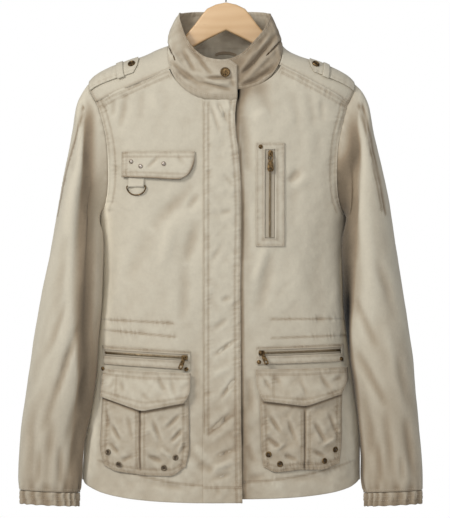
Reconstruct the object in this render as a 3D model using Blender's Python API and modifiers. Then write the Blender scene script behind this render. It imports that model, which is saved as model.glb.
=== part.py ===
"""Women's safari jacket on a wooden hanger, one object for each piece that is cut and sewn on.

The origin is the inner top of the hook, where it rests on a rail. +Z is up and the fronts face -Y.
Sizes are millimetres here and metres in the scene. Heights are given as a drop below the hook's rest.
The body is one master surface, read off a table of level sections. Panels are patches of it, and what
is sewn onto a panel is made from the same surface, moved out by its lift.
"""
import math
from collections import namedtuple

import bmesh
import bpy
import numpy as np
from mathutils import Matrix, Vector

MM = 0.001
SEAM_GAP = 0.3
SHELL = 1.4            # body cloth
TRIM = 1.2             # pockets, flaps, welts and tabs
LAID_ON = 0.8          # clear space between a panel and what is sewn on it
FLAT_FRONT = 2.6       # power of the level section: 2 is an ellipse, more is flatter
EDGE_SPREAD = 0.85     # spreads the columns evenly round the side edges

# ---------------------------------------------------------------- tables
# Level sections of the body: side edges in x, front, back and side seam in y.
Section = namedtuple("Section", "drop left right front back seam")
BODY = (
    Section(131.6, -90, 88, -34, 36, 0),
    Section(137, -105, 94, -38, 38, 0),
    Section(147, -126, 112, -43, 41, 0),
    Section(156, -151, 139, -46, 43, 0),
    Section(166, -177, 162, -48, 45, 0),
    Section(179, -201, 186, -51, 47, 0),
    Section(190, -212, 198, -53, 49, 0),
    Section(230, -214, 203, -57, 53, 3),
    Section(300, -210, 199, -61, 57, 6),
    Section(395, -198, 187, -63, 58, 8),
    Section(514, -195, 184, -62, 54, 8),
    Section(586, -200, 189, -61, 52, 8),
    Section(652, -205, 200, -63, 54, 8),
    Section(720, -217, 207, -66, 57, 8),
    Section(798, -223, 208, -69, 60, 8),
    Section(850, -226, 209, -71, 62, 8),
)
SHOULDER_DROP = 190    # top of the armhole, on the ridge
ARMPIT_DROP = 395      # foot of the armhole
NECK_DROP = 131.6      # neck points, on the ridge
NECK_POWER = 2.3       # roundness of the neckline
NECK_CORNER = 0.932    # where the forward yoke seam meets the neckline, as a part of its half width
BACK_CORNER = 0.8      # the same behind
NECK_DEPTH = {-1: 84, 1: 70, 0: 6}       # neckline below the neck points: right front, left front, back
ARMHOLE_INSET = {"front": 0.133, "back": 0.09}
YOKE_STEPS = 7         # faces along the yoke's seams
NECK_STEPS = 7         # faces along each front's neckline
BACK_NECK_STEPS = 6
RIDGE_BAND, RIDGE_OUT, RIDGE_TURN = 0.12, 0.47, 2.4     # which way is out over the shoulder ridge
HEM = {-1: (838, 35), 1: (833, 28), 0: (812, 9)}   # drop at the middle, and its rise at the side seam
HEM_POWER = 2.2
FRONT_EDGE = 3         # the two fronts end this far from the centre, under the placket

# Sleeve rings: outer and inner ends, half depth, middle in y, and the long fold down the front.
Ring = namedtuple("Ring", "outer_drop outer_l outer_r inner_drop inner_l inner_r half mid"
                          " fold_l angle_l fold_r angle_r")
SLEEVE = (
    Ring(190, -212, 198, 395, -198, 187, 37, 0, 0, 85, 0, 80),
    Ring(203, -222, 211, 399, -199, 187, 39, -1, 3, 86, 2, 82),
    Ring(225, -232, 221, 404, -198, 186, 42, -3, 6, 88, 5, 84),
    Ring(262, -238, 228, 410, -196, 184, 46, -7, 8, 90, 7, 98),
    Ring(300, -246, 237, 417, -193, 181, 49, -11, 9, 90, 7, 116),
    Ring(340, -254, 245, 427, -191, 179, 51, -14, 9, 90, 5, 134),
    Ring(382, -261, 253, 442, -190, 178, 51, -16, 9, 91, 2, 150),
    Ring(428, -268, 260, 464, -190, 179, 50, -18, 8, 92, 0, 150),
    Ring(475, -276, 267, 496, -191, 181, 49, -18, 5, 92, 0, 150),
    Ring(520, -285, 274, 530, -193, 182, 48, -18, 2, 93, 0, 90),
    Ring(566, -293, 281, 569, -196, 185, 46, -19, 0, 93, 0, 90),
    Ring(614, -301, 288, 615, -199, 190, 45, -20, 0, 90, 0, 90),
    Ring(662, -308, 293, 662, -203, 198, 43, -20, 0, 90, 0, 90),
    Ring(710, -314, 298, 710, -211, 204, 40, -20, 0, 90, 0, 90),
    Ring(755, -318.5, 301.5, 755, -219, 208, 35, -20, 0, 90, 0, 90),
    Ring(792, -320, 303, 793, -225, 211, 30, -20, 0, 90, 0, 90),
    Ring(818, -318.5, 303, 822, -229, 215, 24, -20, 0, 90, 0, 90),
)
# Turns round the armhole and every sleeve ring, in degrees: 0 is the ridge and 90 the front. All panels
# that meet at the armhole have their corners at these turns.
HALF_TURNS = (0, 8, 15, 30, 45, 60, 75, 90, 105, 120, 135, 150, 165, 180)
YOKE_TURN = 45         # the yoke's seams meet the armhole here
FOLD_WIDTH = 15        # degrees
ARMHOLE_FADE = 5       # rings over which the armhole's own shape dies away
BODY_CLEARANCE = 1.5   # between sleeve and body
CUFF_HEIGHT = 17.5
CUFF_GATHERS = 16
GATHER_SIDES = 3
CUFF_RIPPLE = 1.3

# Collar: its foot by the angle round the neck (0 the middle of the front, 90 the right ridge, 180 the
# back), how far the foot stands off the fronts, the top edge, and the outward swell.
CollarStay = namedtuple("CollarStay", "angle lift top_x top_y top_drop swell")
COLLAR = (
    CollarStay(-8, 0, -11, -48, 155, 0),
    CollarStay(3, 0, 5, -49, 153.5, 1),
    CollarStay(16, 0, 23, -48, 146, 1),
    CollarStay(32, 0, 42, -41, 127, 1.5),
    CollarStay(49, 0, 57, -29, 109, 2),
    CollarStay(68, 0, 66, -13, 92, 2),
    CollarStay(90, 0, 69, 4, 82, 2),
    CollarStay(115, 0, 65, 19, 79.5, 2),
    CollarStay(139, 0, 47, 31, 77, 2),
    CollarStay(161, 0, 23, 36, 76.5, 2),
    CollarStay(180, 0, 0, 37, 76.5, 2),
    CollarStay(199, 0, -23, 36, 76.5, 2),
    CollarStay(221, 0, -48, 31, 77, 3),
    CollarStay(245, 0, -67, 19, 79.5, 5),
    CollarStay(270, 0, -72, 4, 82, 6),
    CollarStay(291, 0, -70, -13, 95, 5),
    CollarStay(307, 0.4, -61, -29, 120, 3),
    CollarStay(325, 1.2, -46, -42, 141, 2),
    CollarStay(340, 2.4, -29, -50, 151.5, 2),
    CollarStay(353, 3, -11, -53.5, 155, 2),
    CollarStay(364, 3, 7, -54, 156.5, 2),
    CollarStay(371.5, 3, 17, -54, 163, 1),
)
COLLAR_FOOT_GAP = 0.7
COLLAR_ROWS = (0, 0.14, 0.24, 0.34, 0.5, 0.75, 1)
COLLAR_FOLD = (-24, 26, 0.24, 0.07, 2.2)    # the fold at the throat: x, reach in x, height, width, depth

# Placket: its right hand edge as seen from the front.
Edge = namedtuple("Edge", "drop x")
PLACKET_EDGE = (Edge(213, 16.5), Edge(238, 14), Edge(262, 14.5), Edge(293, 18.5), Edge(525, 22),
                Edge(708, 23), Edge(840, 25))
PLACKET_LEFT = -35.5
PLACKET_ROWS = 17

# Patches on the fronts. Corners run top left, top right, bottom right, bottom left, as (x, drop).
CHEST_WELT = ((46, 283.5), (90, 283.5), (90, 442.5), (46, 442.5))
CHEST_WINDOW = ((60.2, 293.5), (75.5, 293.5), (74.5, 430), (59.4, 430))
POCKET_WELT = {-1: ((-191, 595), (-55, 603), (-55, 632), (-189, 624)),
               1: ((47, 597), (180, 592.5), (181, 620), (47, 624))}
POCKET_WINDOW = {-1: ((-188, 601.2), (-58, 608.2), (-58, 618.2), (-188, 611.2)),
                 1: ((50, 601.2), (177, 597.5), (177, 607.5), (50, 611.2))}
Outline = namedtuple("Outline", "top left right bottom")
CHEST_FLAP = Outline(
    top=((0, 296.5), (1, 296)),
    left=((0, -160), (1, -159)),
    right=((0, -48), (0.3, -48), (0.6, -51), (0.85, -58), (1, -71)),
    bottom=((0, 335.6), (0.4, 336.7), (0.8, 339.3), (1, 340)))
POCKET_FLAP = {
    -1: Outline(top=((0, 631), (1, 637)), left=((0, -188), (1, -190)),
                right=((0, -53.5), (0.6, -54.5), (0.85, -59), (1, -65)),
                bottom=((0, 674), (0.5, 696), (1, 683))),
    1: Outline(top=((0, 631), (1, 629)), left=((0, 45), (0.5, 46), (0.8, 51), (1, 58)),
               right=((0, 184), (0.45, 185), (1, 173)),
               bottom=((0, 680), (0.55, 688), (1, 670)))}
POCKET = {
    -1: Outline(top=((0, 644), (1, 650)), left=((0, -189), (0.8, -193), (1, -186)),
                right=((0, -57), (0.8, -56), (1, -62)),
                bottom=((0, 778), (0.12, 788), (0.5, 794), (0.85, 795), (1, 779))),
    1: Outline(top=((0, 642), (1, 640)), left=((0, 50), (0.8, 54), (1, 57)),
               right=((0, 178), (0.8, 176), (1, 173)),
               bottom=((0, 780), (0.15, 789.5), (0.5, 785), (0.8, 786), (1, 776)))}
POCKET_SWELL = 4.5
PLEAT_X = {-1: -131, 1: 120}
PLEAT_DEPTH = 2.2
PLEAT_WIDTH = 4.5

EPAULETTE = {"inner": 0.36, "point": 0.07, "front": 0.66, "back": -0.42}
EPAULETTE_LIFT = 2.4
LOOP_AT = 0.60
LOOP_WIDTH = 0.085

# Metal pieces, placed by (x, drop) on the front.
EYELETS = {-1: ((-179, 759), (-163, 777.5), (-95, 782), (-77, 766)),
           1: ((65, 761), (82, 776), (150, 772), (166, 755))}
EYELET_RADIUS, EYELET_WIRE = 3.2, 1.1
FLAP_RIVETS = ((-145, 312), (-130, 319.2), (-95.2, 315.5))
POCKET_RIVETS = {-1: ((-187, 628.3), (-61, 630.5)), 1: ((50.5, 620), (177, 616))}
CHEST_RIVET = (53, 289.5)
RIVET_RADIUS, RIVET_HEIGHT = 3.4, 1.8
COLLAR_SNAP = (-1, 0.67)      # x, and height as a part of the collar's
SNAP_RADIUS, SNAP_HEIGHT = 7.6, 2.6
SHOULDER_SNAP_RADIUS = 6
D_RING_X, D_RING_DROP, D_RING_WIDTH, D_RING_FALL, D_RING_WIRE = -137, 348.6, 33, 15, 1.3
D_TAB_LEFT, D_TAB_RIGHT, D_TAB_TOP = -149.2, -124.8, 326
SLIDER_SIZE = (7.5, 10, 1.6)
SLIDER_LIFT = 3.2
BAIL_WIRE, BAIL_RADIUS, BAIL_LIFT = 0.65, 2.1, 1.4      # the lift is from the plate to the arch's centre
PULL_TILT = {-1: -22, 1: 26}
PULL_HALF_THICKNESS = 0.6
CHEST_SLIDER = (68, 300)
POCKET_SLIDER = {-1: (-63.5, 613), 1: (54.5, 606)}

# Hanger: a flat board, by its top and bottom edges; and its wire hook.
Board = namedtuple("Board", "x top bottom")
HANGER = (Board(0, 64, 107.5), Board(16, 67.5, 115.5), Board(29.5, 74, 122), Board(37, 83, 126),
          Board(48, 98, 132), Board(63.5, 116, 141), Board(80, 132.5, 151.5), Board(95, 145.5, 163),
          Board(125, 157, 177), Board(155, 169, 190), Board(176, 180.5, 202), Board(184, 189, 200))
HANGER_HALF_THICKNESS = 6.5
HOOK_WIRE, HOOK_INNER = 1.75, 19


# ---------------------------------------------------------------- the master surface
def curve_through(rows, key, value):
    """A smooth function of one column of a table, through every row of another."""
    keys = np.array([getattr(row, key) for row in rows], float)
    values = np.array([getattr(row, value) for row in rows], float)
    slopes = np.gradient(values, keys)

    def at(x):
        x = min(max(x, keys[0]), keys[-1])
        i = min(int(np.searchsorted(keys, x, side="right")) - 1, len(keys) - 2)
        step = keys[i + 1] - keys[i]
        t = (x - keys[i]) / step
        return ((2 * t**3 - 3 * t**2 + 1) * values[i] + (t**3 - 2 * t**2 + t) * step * slopes[i]
                + (3 * t**2 - 2 * t**3) * values[i + 1] + (t**3 - t**2) * step * slopes[i + 1])
    return at


def straight_through(pairs):
    """A function that joins (key, value) pairs by straight lines."""
    keys, values = zip(*pairs)
    return lambda x: float(np.interp(x, keys, values))


BODY_AT = {name: curve_through(BODY, "drop", name) for name in Section._fields[1:]}


def body_point(angle, drop, front=True):
    """A point of the body: angle -90 is its left edge, 0 the middle and 90 its right edge."""
    left, right, seam = (BODY_AT[name](drop) for name in ("left", "right", "seam"))
    face = BODY_AT["front" if front else "back"](drop)
    turn = math.sin(math.radians(angle))
    across = math.copysign(min(abs(turn), 1) ** EDGE_SPREAD, turn)
    depth = math.sqrt(max(0, 1 - abs(across) ** FLAT_FRONT))
    return np.array((left + (right - left) * (1 + across) / 2, seam + (face - seam) * depth, -drop))


def angle_of(x, drop):
    """The angle at which a level section of the body passes x."""
    left, right = BODY_AT["left"](drop), BODY_AT["right"](drop)
    across = min(max((2 * x - left - right) / (right - left), -1), 1)
    return math.degrees(math.copysign(math.asin(abs(across) ** (1 / EDGE_SPREAD)), across))


def outward(angle, drop, front=True):
    """The body's outward direction."""
    step = 0.5
    angle = min(max(angle, -89.9 + step), 89.9 - step)
    along = body_point(angle + step, drop, front) - body_point(angle - step, drop, front)
    down = body_point(angle, drop + step, front) - body_point(angle, drop - step, front)
    normal = np.cross(along, down) * (-1 if front else 1)
    return normal / np.linalg.norm(normal)


def on_body(x, drop, lift=0.0, front=True):
    """A point over the body at x and drop, moved out by lift."""
    angle = angle_of(x, drop)
    return body_point(angle, drop, front) + outward(angle, drop, front) * lift


def ridge_drop(x):
    """Where the shoulder ridge passes x, found by halving."""
    name, sign = ("left", -1) if x < 0 else ("right", 1)
    low, high = NECK_DROP, float(SHOULDER_DROP)
    for _ in range(40):
        middle = (low + high) / 2
        if BODY_AT[name](middle) * sign < x * sign:
            low = middle
        else:
            high = middle
    return (low + high) / 2


def neck_half(hand):
    return abs(BODY_AT["left" if hand < 0 else "right"](NECK_DROP))


def neckline(x, side):
    """The neckline's drop at x; side is -1 or 1 for the fronts and 0 for the back."""
    part = min(abs(x) / neck_half(-1 if x < 0 else 1), 1)
    return NECK_DROP + NECK_DEPTH[side] * (1 - part ** NECK_POWER) ** (1 / NECK_POWER)


def corner_angle(front):
    """How far round the neck from the ridge the yoke's seam starts."""
    return math.degrees(math.acos(NECK_CORNER if front else BACK_CORNER))


def front_neck_angles():
    """Angles from the middle of the front to the yoke's corner."""
    start = math.degrees(math.asin(FRONT_EDGE / neck_half(-1)))
    return np.linspace(start, 90 - corner_angle(True), NECK_STEPS + 1)


def back_neck_angles():
    """Angles across the back of the neck, from corner to corner."""
    corner = 90 + corner_angle(False)
    return np.linspace(corner, 360 - corner, BACK_NECK_STEPS + 1)


def yoke_ways():
    """The steps over the yoke, from its back seam (-1) to its front seam (1)."""
    top = 1 - math.cos(math.radians(YOKE_TURN))
    ways = [math.sqrt((1 - math.cos(math.radians(turn))) / top) for turn in HALF_TURNS if turn <= YOKE_TURN]
    ways = ways[:-1] + [0.955, 1]
    return [-way for way in ways[:0:-1]] + ways


def armhole_across(drop, face):
    """How far out the armhole lies at a drop, as a part of the section's half width."""
    if drop >= ARMPIT_DROP:
        return 1.0
    middle, half = (SHOULDER_DROP + ARMPIT_DROP) / 2, (ARMPIT_DROP - SHOULDER_DROP) / 2
    height = min(max((middle - drop) / half, -1), 1)
    around = math.sqrt(1 - height * height)
    return 1 - ARMHOLE_INSET[face] * around ** (2 if height > 0 else 1.2)


def edge_angle(drop, hand, face):
    """The angle of a panel's outer edge: the armhole, then the side seam."""
    across = armhole_across(drop, face)
    half_gap = math.degrees(SEAM_GAP / 2 / 65)
    return hand * min(math.degrees(math.asin(across ** (1 / EDGE_SPREAD))), 90 - half_gap)


def armhole_x(drop, hand, face):
    """Where the armhole lies at a drop."""
    return body_point(edge_angle(drop, hand, face), drop, face == "front")[0]


# ---------------------------------------------------------------- scene and materials
def clear_scene():
    for item in list(bpy.data.objects):
        bpy.data.objects.remove(item, do_unlink=True)


def make_material(name, colour, roughness, metallic):
    material = bpy.data.materials.new(name)
    material.use_nodes = True
    shader = material.node_tree.nodes["Principled BSDF"]
    shader.inputs["Base Color"].default_value = (*colour, 1)
    shader.inputs["Roughness"].default_value = roughness
    shader.inputs["Metallic"].default_value = metallic
    material.diffuse_color = (*colour, 1)
    return material


FINISHES = {
    "cloth": ((0.52, 0.46, 0.37), 0.9, 0.0),
    "wood": ((0.72, 0.50, 0.29), 0.45, 0.0),
    "antique_brass": ((0.20, 0.13, 0.07), 0.45, 0.9),
    "nickel": ((0.55, 0.53, 0.49), 0.3, 1.0),
    "steel": ((0.60, 0.60, 0.60), 0.25, 1.0),
    "zip_tape": ((0.36, 0.31, 0.25), 0.9, 0.0),
}


def add_object(name, data, finish):
    """Put new object data into the jacket's collection, with a material of its own."""
    item = bpy.data.objects.new(name, data)
    data.materials.clear()
    data.materials.append(make_material(f"{finish}.{name}", *FINISHES[finish]))
    JACKET.objects.link(item)
    return item


def soften(mesh):
    mesh.shade_smooth()
    mesh.set_sharp_from_angle(angle=math.radians(50))


# ---------------------------------------------------------------- ways of making pieces
def cloth(name, rows, inside, wall=SHELL, closed=False, finish="cloth"):
    """A sheet through rows of points, walled towards a point inside; closed rows make a tube."""
    shape = bmesh.new()
    grid = [[shape.verts.new(Vector(point) * MM) for point in row] for row in rows]
    columns = len(rows[0])
    for upper, lower in zip(grid, grid[1:]):
        for i in range(columns if closed else columns - 1):
            j = (i + 1) % columns
            shape.faces.new((upper[i], upper[j], lower[j], lower[i]))
    shape.normal_update()
    core = Vector(inside) * MM
    if sum(face.normal.dot(face.calc_center_median() - core) * face.calc_area() for face in shape.faces) < 0:
        bmesh.ops.reverse_faces(shape, faces=shape.faces)
    mesh = bpy.data.meshes.new(name)
    shape.to_mesh(mesh)
    shape.free()
    soften(mesh)
    item = add_object(name, mesh, finish)
    solidify = item.modifiers.new("Wall", "SOLIDIFY")
    solidify.thickness = wall * MM
    solidify.offset = -1
    return item


def facing(item, at, direction):
    """Stand a piece at a point, its own +Z along a direction."""
    item.location = Vector(at) * MM
    item.rotation_euler = Vector(direction).to_track_quat("Z", "Y").to_euler()


def turned(name, profile, steps, at, direction, finish):
    """A turned piece: (radius, height) from the top of its axis round to the foot."""
    mesh = bpy.data.meshes.new(name)
    points = [(radius * MM, 0, height * MM) for radius, height in profile]
    mesh.from_pydata(points, [(i, i + 1) for i in range(len(points) - 1)], [])
    item = add_object(name, mesh, finish)
    screw = item.modifiers.new("Turn", "SCREW")
    screw.axis = "Z"
    screw.steps = screw.render_steps = steps
    screw.use_merge_vertices = True
    screw.merge_threshold = 0.00001
    facing(item, at, direction)
    return item


def wire(name, points, radius, finish, cyclic=False, sides=2, origin=(0, 0, 0)):
    """A round wire through points, given about its origin."""
    curve = bpy.data.curves.new(name, "CURVE")
    curve.dimensions = "3D"
    curve.bevel_depth = radius * MM
    curve.bevel_resolution = sides
    curve.use_fill_caps = not cyclic
    spline = curve.splines.new("POLY")
    spline.points.add(len(points) - 1)
    for target, point in zip(spline.points, points):
        target.co = (*(Vector(point) * MM), 1)
    spline.use_cyclic_u = cyclic
    item = add_object(name, curve, finish)
    item.location = Vector(origin) * MM
    return item


def cut_flat(name, outlines, half_thickness, finish, bevel=0.0):
    """A flat piece in the XZ plane: the first outline is its edge and the others are holes."""
    curve = bpy.data.curves.new(name, "CURVE")
    curve.dimensions = "2D"
    curve.fill_mode = "BOTH"
    curve.extrude = (half_thickness - bevel) * MM
    curve.bevel_depth = bevel * MM
    curve.bevel_resolution = 0
    curve.offset = -bevel * MM
    for outline in outlines:
        spline = curve.splines.new("POLY")
        spline.points.add(len(outline) - 1)
        for target, (x, z) in zip(spline.points, outline):
            target.co = (x * MM, z * MM, 0, 1)
        spline.use_cyclic_u = True
    item = add_object(name, curve, finish)
    item.rotation_euler = (math.pi / 2, 0, 0)
    return item


def as_mesh(item, origin=(0, 0, 0)):
    """Turn a curve object into a welded mesh object of the same name and place, about a new origin."""
    bpy.context.view_layer.update()
    graph = bpy.context.evaluated_depsgraph_get()
    mesh = bpy.data.meshes.new_from_object(item.evaluated_get(graph))
    mesh.transform(Matrix.Translation(Vector(origin) * -MM) @ item.matrix_world)
    shape = bmesh.new()
    shape.from_mesh(mesh)
    bmesh.ops.remove_doubles(shape, verts=shape.verts, dist=0.00001)
    shape.to_mesh(mesh)
    shape.free()
    name, finish = item.name, item.data.materials[0].name.split(".")[0]
    bpy.data.objects.remove(item, do_unlink=True)
    welded = add_object(name, mesh, finish)
    welded.location = Vector(origin) * MM
    return welded


def weld_on(item, added):
    """Join a second shape onto a piece, and keep it as a hidden guide."""
    union = item.modifiers.new("Weld", "BOOLEAN")
    union.operation = "UNION"
    union.object = added
    GUIDES.objects.link(added)
    JACKET.objects.unlink(added)
    added.hide_render = True
    added.display_type = "WIRE"


def ellipse(across, high, centre, count, start=0.0):
    """Points round an ellipse in the XZ plane."""
    turns = (start + math.tau * i / count for i in range(count))
    return [(centre[0] + across * math.cos(a), centre[1] + high * math.sin(a)) for a in turns]


# ---------------------------------------------------------------- hanger
def make_hanger():
    top = [(row.x, -row.top) for row in HANGER]
    bottom = [(row.x, -row.bottom) for row in HANGER]
    half = top + bottom[::-1]
    mirrored = [(-x, z) for x, z in half if x > 0]
    outline = half[:-1] + [bottom[0]] + mirrored[::-1]
    cut_flat("hanger", (outline,), HANGER_HALF_THICKNESS, "wood", bevel=2.0)


def make_hook():
    """A shank out of the board, a bend, and three quarters of a ring whose inner top is the origin."""
    radius = HOOK_INNER + HOOK_WIRE
    centre = -HOOK_INNER
    ring = [(radius * math.cos(math.radians(a)), 0, centre + radius * math.sin(math.radians(a)))
            for a in range(-52, 206, 12)]
    shank = [(0, 0, -HANGER[0].top + 0.4), (0, 0, -56), (0.4, 0, -50), (2.6, 0, -45.2), (6.6, 0, -41)]
    wire("hook", shank + ring[1:], HOOK_WIRE, "steel", sides=1)


# ---------------------------------------------------------------- body panels
def turn_drop(turn):
    """The armhole's drop at a turn."""
    middle, half = (SHOULDER_DROP + ARMPIT_DROP) / 2, (ARMPIT_DROP - SHOULDER_DROP) / 2
    return middle - half * math.cos(math.radians(turn))


SEAM_DROP = turn_drop(YOKE_TURN)
LEVELS = [turn_drop(turn) for turn in HALF_TURNS if turn > YOKE_TURN] + [450, 520, 580, 640, 700, 765]
EDGE_ROW = 3           # a row this close to a panel's top keeps the wall square at the seam
NEAR_EDGE = 0.995      # how far along its last face a seam's extra point lies
SPREAD_FROM = 235      # below this drop the columns turn from straight to evenly spread


def panel_column(top, inner_x, hand, face, foot_of):
    """A column of a panel from its top (x, drop), between an inner edge and the armhole or side seam."""
    front = face == "front"
    x_top, top_drop = top
    edge_top = armhole_x(max(top_drop, SHOULDER_DROP), hand, face)
    part = min(max((x_top - inner_x) / (edge_top - inner_x), 0), 1)
    inner_angle = angle_of(inner_x, ARMPIT_DROP)
    side_angle = edge_angle(ARMPIT_DROP, hand, face)
    side_x = body_point(side_angle, ARMPIT_DROP, front)[0]
    foot_angle = angle_of(inner_x + (side_x - inner_x) * part, ARMPIT_DROP)
    share = 1 if part == 1 else min(max((foot_angle - inner_angle) / (side_angle - inner_angle), 0), 1)
    drops = [top_drop, top_drop + EDGE_ROW, (top_drop + LEVELS[0]) / 2 + 2] + LEVELS + [foot_of(share)]
    column = []
    for drop in drops:
        edge = edge_angle(max(drop, SHOULDER_DROP), hand, face)
        start = angle_of(inner_x, drop)
        if part == 1:
            column.append(body_point(edge, drop, front))
            continue
        edge_x = armhole_x(max(drop, SHOULDER_DROP), hand, face)
        cut_away = body_point(side_angle, drop, front)[0] - edge_x
        straight = inner_x + (edge_x - inner_x) * part
        if part > NEAR_EDGE - 0.01:
            spread = body_point(start + (edge - start) * share, drop, front)[0]
        else:
            spread = body_point(start + (side_angle - start) * share, drop, front)[0] - cut_away * part ** 3
        weight = min(max((drop - SPREAD_FROM) / (ARMPIT_DROP - SPREAD_FROM), 0), 1)
        weight = weight * weight * (3 - 2 * weight)
        x = straight + (spread - straight) * weight
        column.append(body_point(angle_of(x, drop), drop, front))
    return column


def yoke_seam(hand, front):
    """The yoke's seam on the front or back, from the neckline to the armhole, as (x, drop)."""
    x = hand * neck_half(hand) * (NECK_CORNER if front else BACK_CORNER)
    drop = neckline(x, hand if front else 0)
    arm = armhole_x(SEAM_DROP, hand, "front" if front else "back")
    return [(x + (arm - x) * t, drop + (SEAM_DROP - drop) * t) for t in np.linspace(0, 1, YOKE_STEPS + 1)]


def with_edge_column(seam):
    """A seam with one more point close to its outer end, which keeps the wall square at that edge."""
    (ax, ad), (bx, bd) = seam[-2:]
    return seam[:-1] + [(ax + (bx - ax) * NEAR_EDGE, ad + (bd - ad) * NEAR_EDGE), seam[-1]]


def make_front(hand):
    """One front, from under the placket to the side seam; hand -1 is at the picture's left."""
    half = neck_half(hand)
    neck = [hand * half * math.sin(math.radians(a)) for a in front_neck_angles()]
    top = [(x, neckline(x, hand)) for x in neck] + with_edge_column(yoke_seam(hand, True))[1:]
    middle_hem, rise = HEM[hand]
    columns = [panel_column(place, hand * FRONT_EDGE, hand, "front",
                            lambda share: middle_hem - rise * share ** HEM_POWER) for place in top]
    cloth("front_r" if hand < 0 else "front_l", columns, (0, 0, -500))


def make_back():
    middle_hem, rise = HEM[0]
    neck = [neck_half(1 if a < 180 else -1) * math.sin(math.radians(a)) for a in back_neck_angles()]
    neck = [(x, neckline(x, 0)) for x in neck]
    columns = []
    for hand in (-1, 1):
        own = [place for place in neck[1:-1] if place[0] * hand > 0.01]
        own.sort(key=lambda place: abs(place[0]))
        seam = with_edge_column(yoke_seam(hand, False))
        half = [panel_column(place, 0, hand, "back",
                             lambda share: middle_hem - rise * share ** HEM_POWER) for place in own + seam]
        if hand < 0:
            middle = panel_column((0.0, neckline(0, 0)), 0, 1, "back", lambda share: middle_hem)
            columns = half[::-1] + [middle]
        else:
            columns += half
    cloth("back", columns, (0, 0, -500))


def yoke_place(hand, s, t):
    """A place on the shoulder: s runs neck to arm, t from the back seam (-1) over the ridge to the front."""
    front = t >= 0
    side, face = (hand, "front") if front else (0, "back")
    half = neck_half(hand)
    corner = half * (NECK_CORNER if front else BACK_CORNER)
    way = t * t
    neck_x = hand * (half + (corner - half) * way)
    neck_drop = neckline(neck_x, side)
    arm_drop = SHOULDER_DROP + (SEAM_DROP - SHOULDER_DROP) * way
    shoulder_x = BODY_AT["left" if hand < 0 else "right"](SHOULDER_DROP)
    arm_x = armhole_x(arm_drop, hand, face) if way else shoulder_x
    x = neck_x + (arm_x - neck_x) * s
    drop = neck_drop + (arm_drop - neck_drop) * s
    ridge = ridge_drop(hand * half + (shoulder_x - hand * half) * s)
    bow = ridge - (NECK_DROP + (SHOULDER_DROP - NECK_DROP) * s)
    return x, drop + bow * (1 - way), front


def on_yoke(hand, s, t, lift=0.0):
    """A point over the shoulder, moved out by lift; on the ridge itself that is up and to the arm's side."""
    x, drop, front = yoke_place(hand, s, t)
    angle = angle_of(x, drop) if t else hand * 90
    point = body_point(angle, drop, front)
    if abs(t) < RIDGE_BAND:
        up = Vector((hand * RIDGE_OUT, -RIDGE_TURN * t, 1)).normalized()
        return point + np.array(up) * lift
    return point + outward(angle, drop, front) * lift


def make_yoke(hand):
    ends = 0.99
    rows = [[on_yoke(hand, s, t * (ends if abs(t) > 0.99 else 1)) for t in yoke_ways()]
            for s in np.linspace(0, 1, YOKE_STEPS + 1)]
    middle = on_yoke(hand, 0.5, 0)
    cloth("yoke_r" if hand < 0 else "yoke_l", rows, (middle[0] * 0.8, 0, middle[2] - 60))


# ---------------------------------------------------------------- sleeves and cuffs
def sleeve_ends(ring, hand):
    """The ring's outer and inner ends in the XZ plane."""
    outer = ring.outer_l if hand < 0 else ring.outer_r
    inner = ring.inner_l if hand < 0 else ring.inner_r
    return np.array((outer, 0, -ring.outer_drop)), np.array((inner, 0, -ring.inner_drop))


def plain_ring_point(ring, hand, turn):
    """A point of the ring's oval: turn 0 is its outer end and 90 its front."""
    outer, inner = sleeve_ends(ring, hand)
    angle = math.radians(turn)
    point = (outer + inner) / 2 + (outer - inner) / 2 * math.cos(angle)
    point[1] = ring.mid - ring.half * math.sin(angle)
    fold, where = (ring.fold_l, ring.angle_l) if hand < 0 else (ring.fold_r, ring.angle_r)
    point[1] += fold * math.exp(-((turn - where) / FOLD_WIDTH) ** 2)
    return point


def armhole_point(hand, turn):
    """The armhole's own edge, by the same turn."""
    drop = turn_drop(turn)
    front = turn <= 180
    across = armhole_across(min(drop, ARMPIT_DROP), "front" if front else "back")
    return body_point(hand * math.degrees(math.asin(min(across, 1) ** (1 / EDGE_SPREAD))), drop, front)


def keep_clear(point, hand):
    """Move a sleeve point sideways until it clears the body's side."""
    drop = -point[2]
    if drop < ARMPIT_DROP - 12:
        return point
    left, right, seam = (BODY_AT[name](drop) for name in ("left", "right", "seam"))
    face = BODY_AT["front" if point[1] < seam else "back"](drop)
    depth = min(abs((point[1] - seam) / (face - seam)), 1)
    across = (1 - depth * depth) ** (1 / FLAT_FRONT)
    edge = (left + right) / 2 + hand * (right - left) / 2 * across
    limit = edge + hand * BODY_CLEARANCE
    if hand * point[0] < hand * limit:
        point[0] = limit
    return point


def make_sleeve(hand):
    rows = []
    turns = list(HALF_TURNS) + [360 - turn for turn in HALF_TURNS[-2:0:-1]]
    for k, ring in enumerate(SLEEVE):
        keep = max(0.0, 1 - k / ARMHOLE_FADE) ** 1.5
        row = []
        for turn in turns:
            point = plain_ring_point(ring, hand, turn)
            own = armhole_point(hand, turn) - plain_ring_point(SLEEVE[0], hand, turn)
            point = point + own * keep
            point[0] += hand * 0.8 * keep
            row.append(keep_clear(point, hand) if k else point)
        rows.append(row)
    cloth("sleeve_r" if hand < 0 else "sleeve_l", rows, (hand * 240, -12, -520), closed=True)


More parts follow.
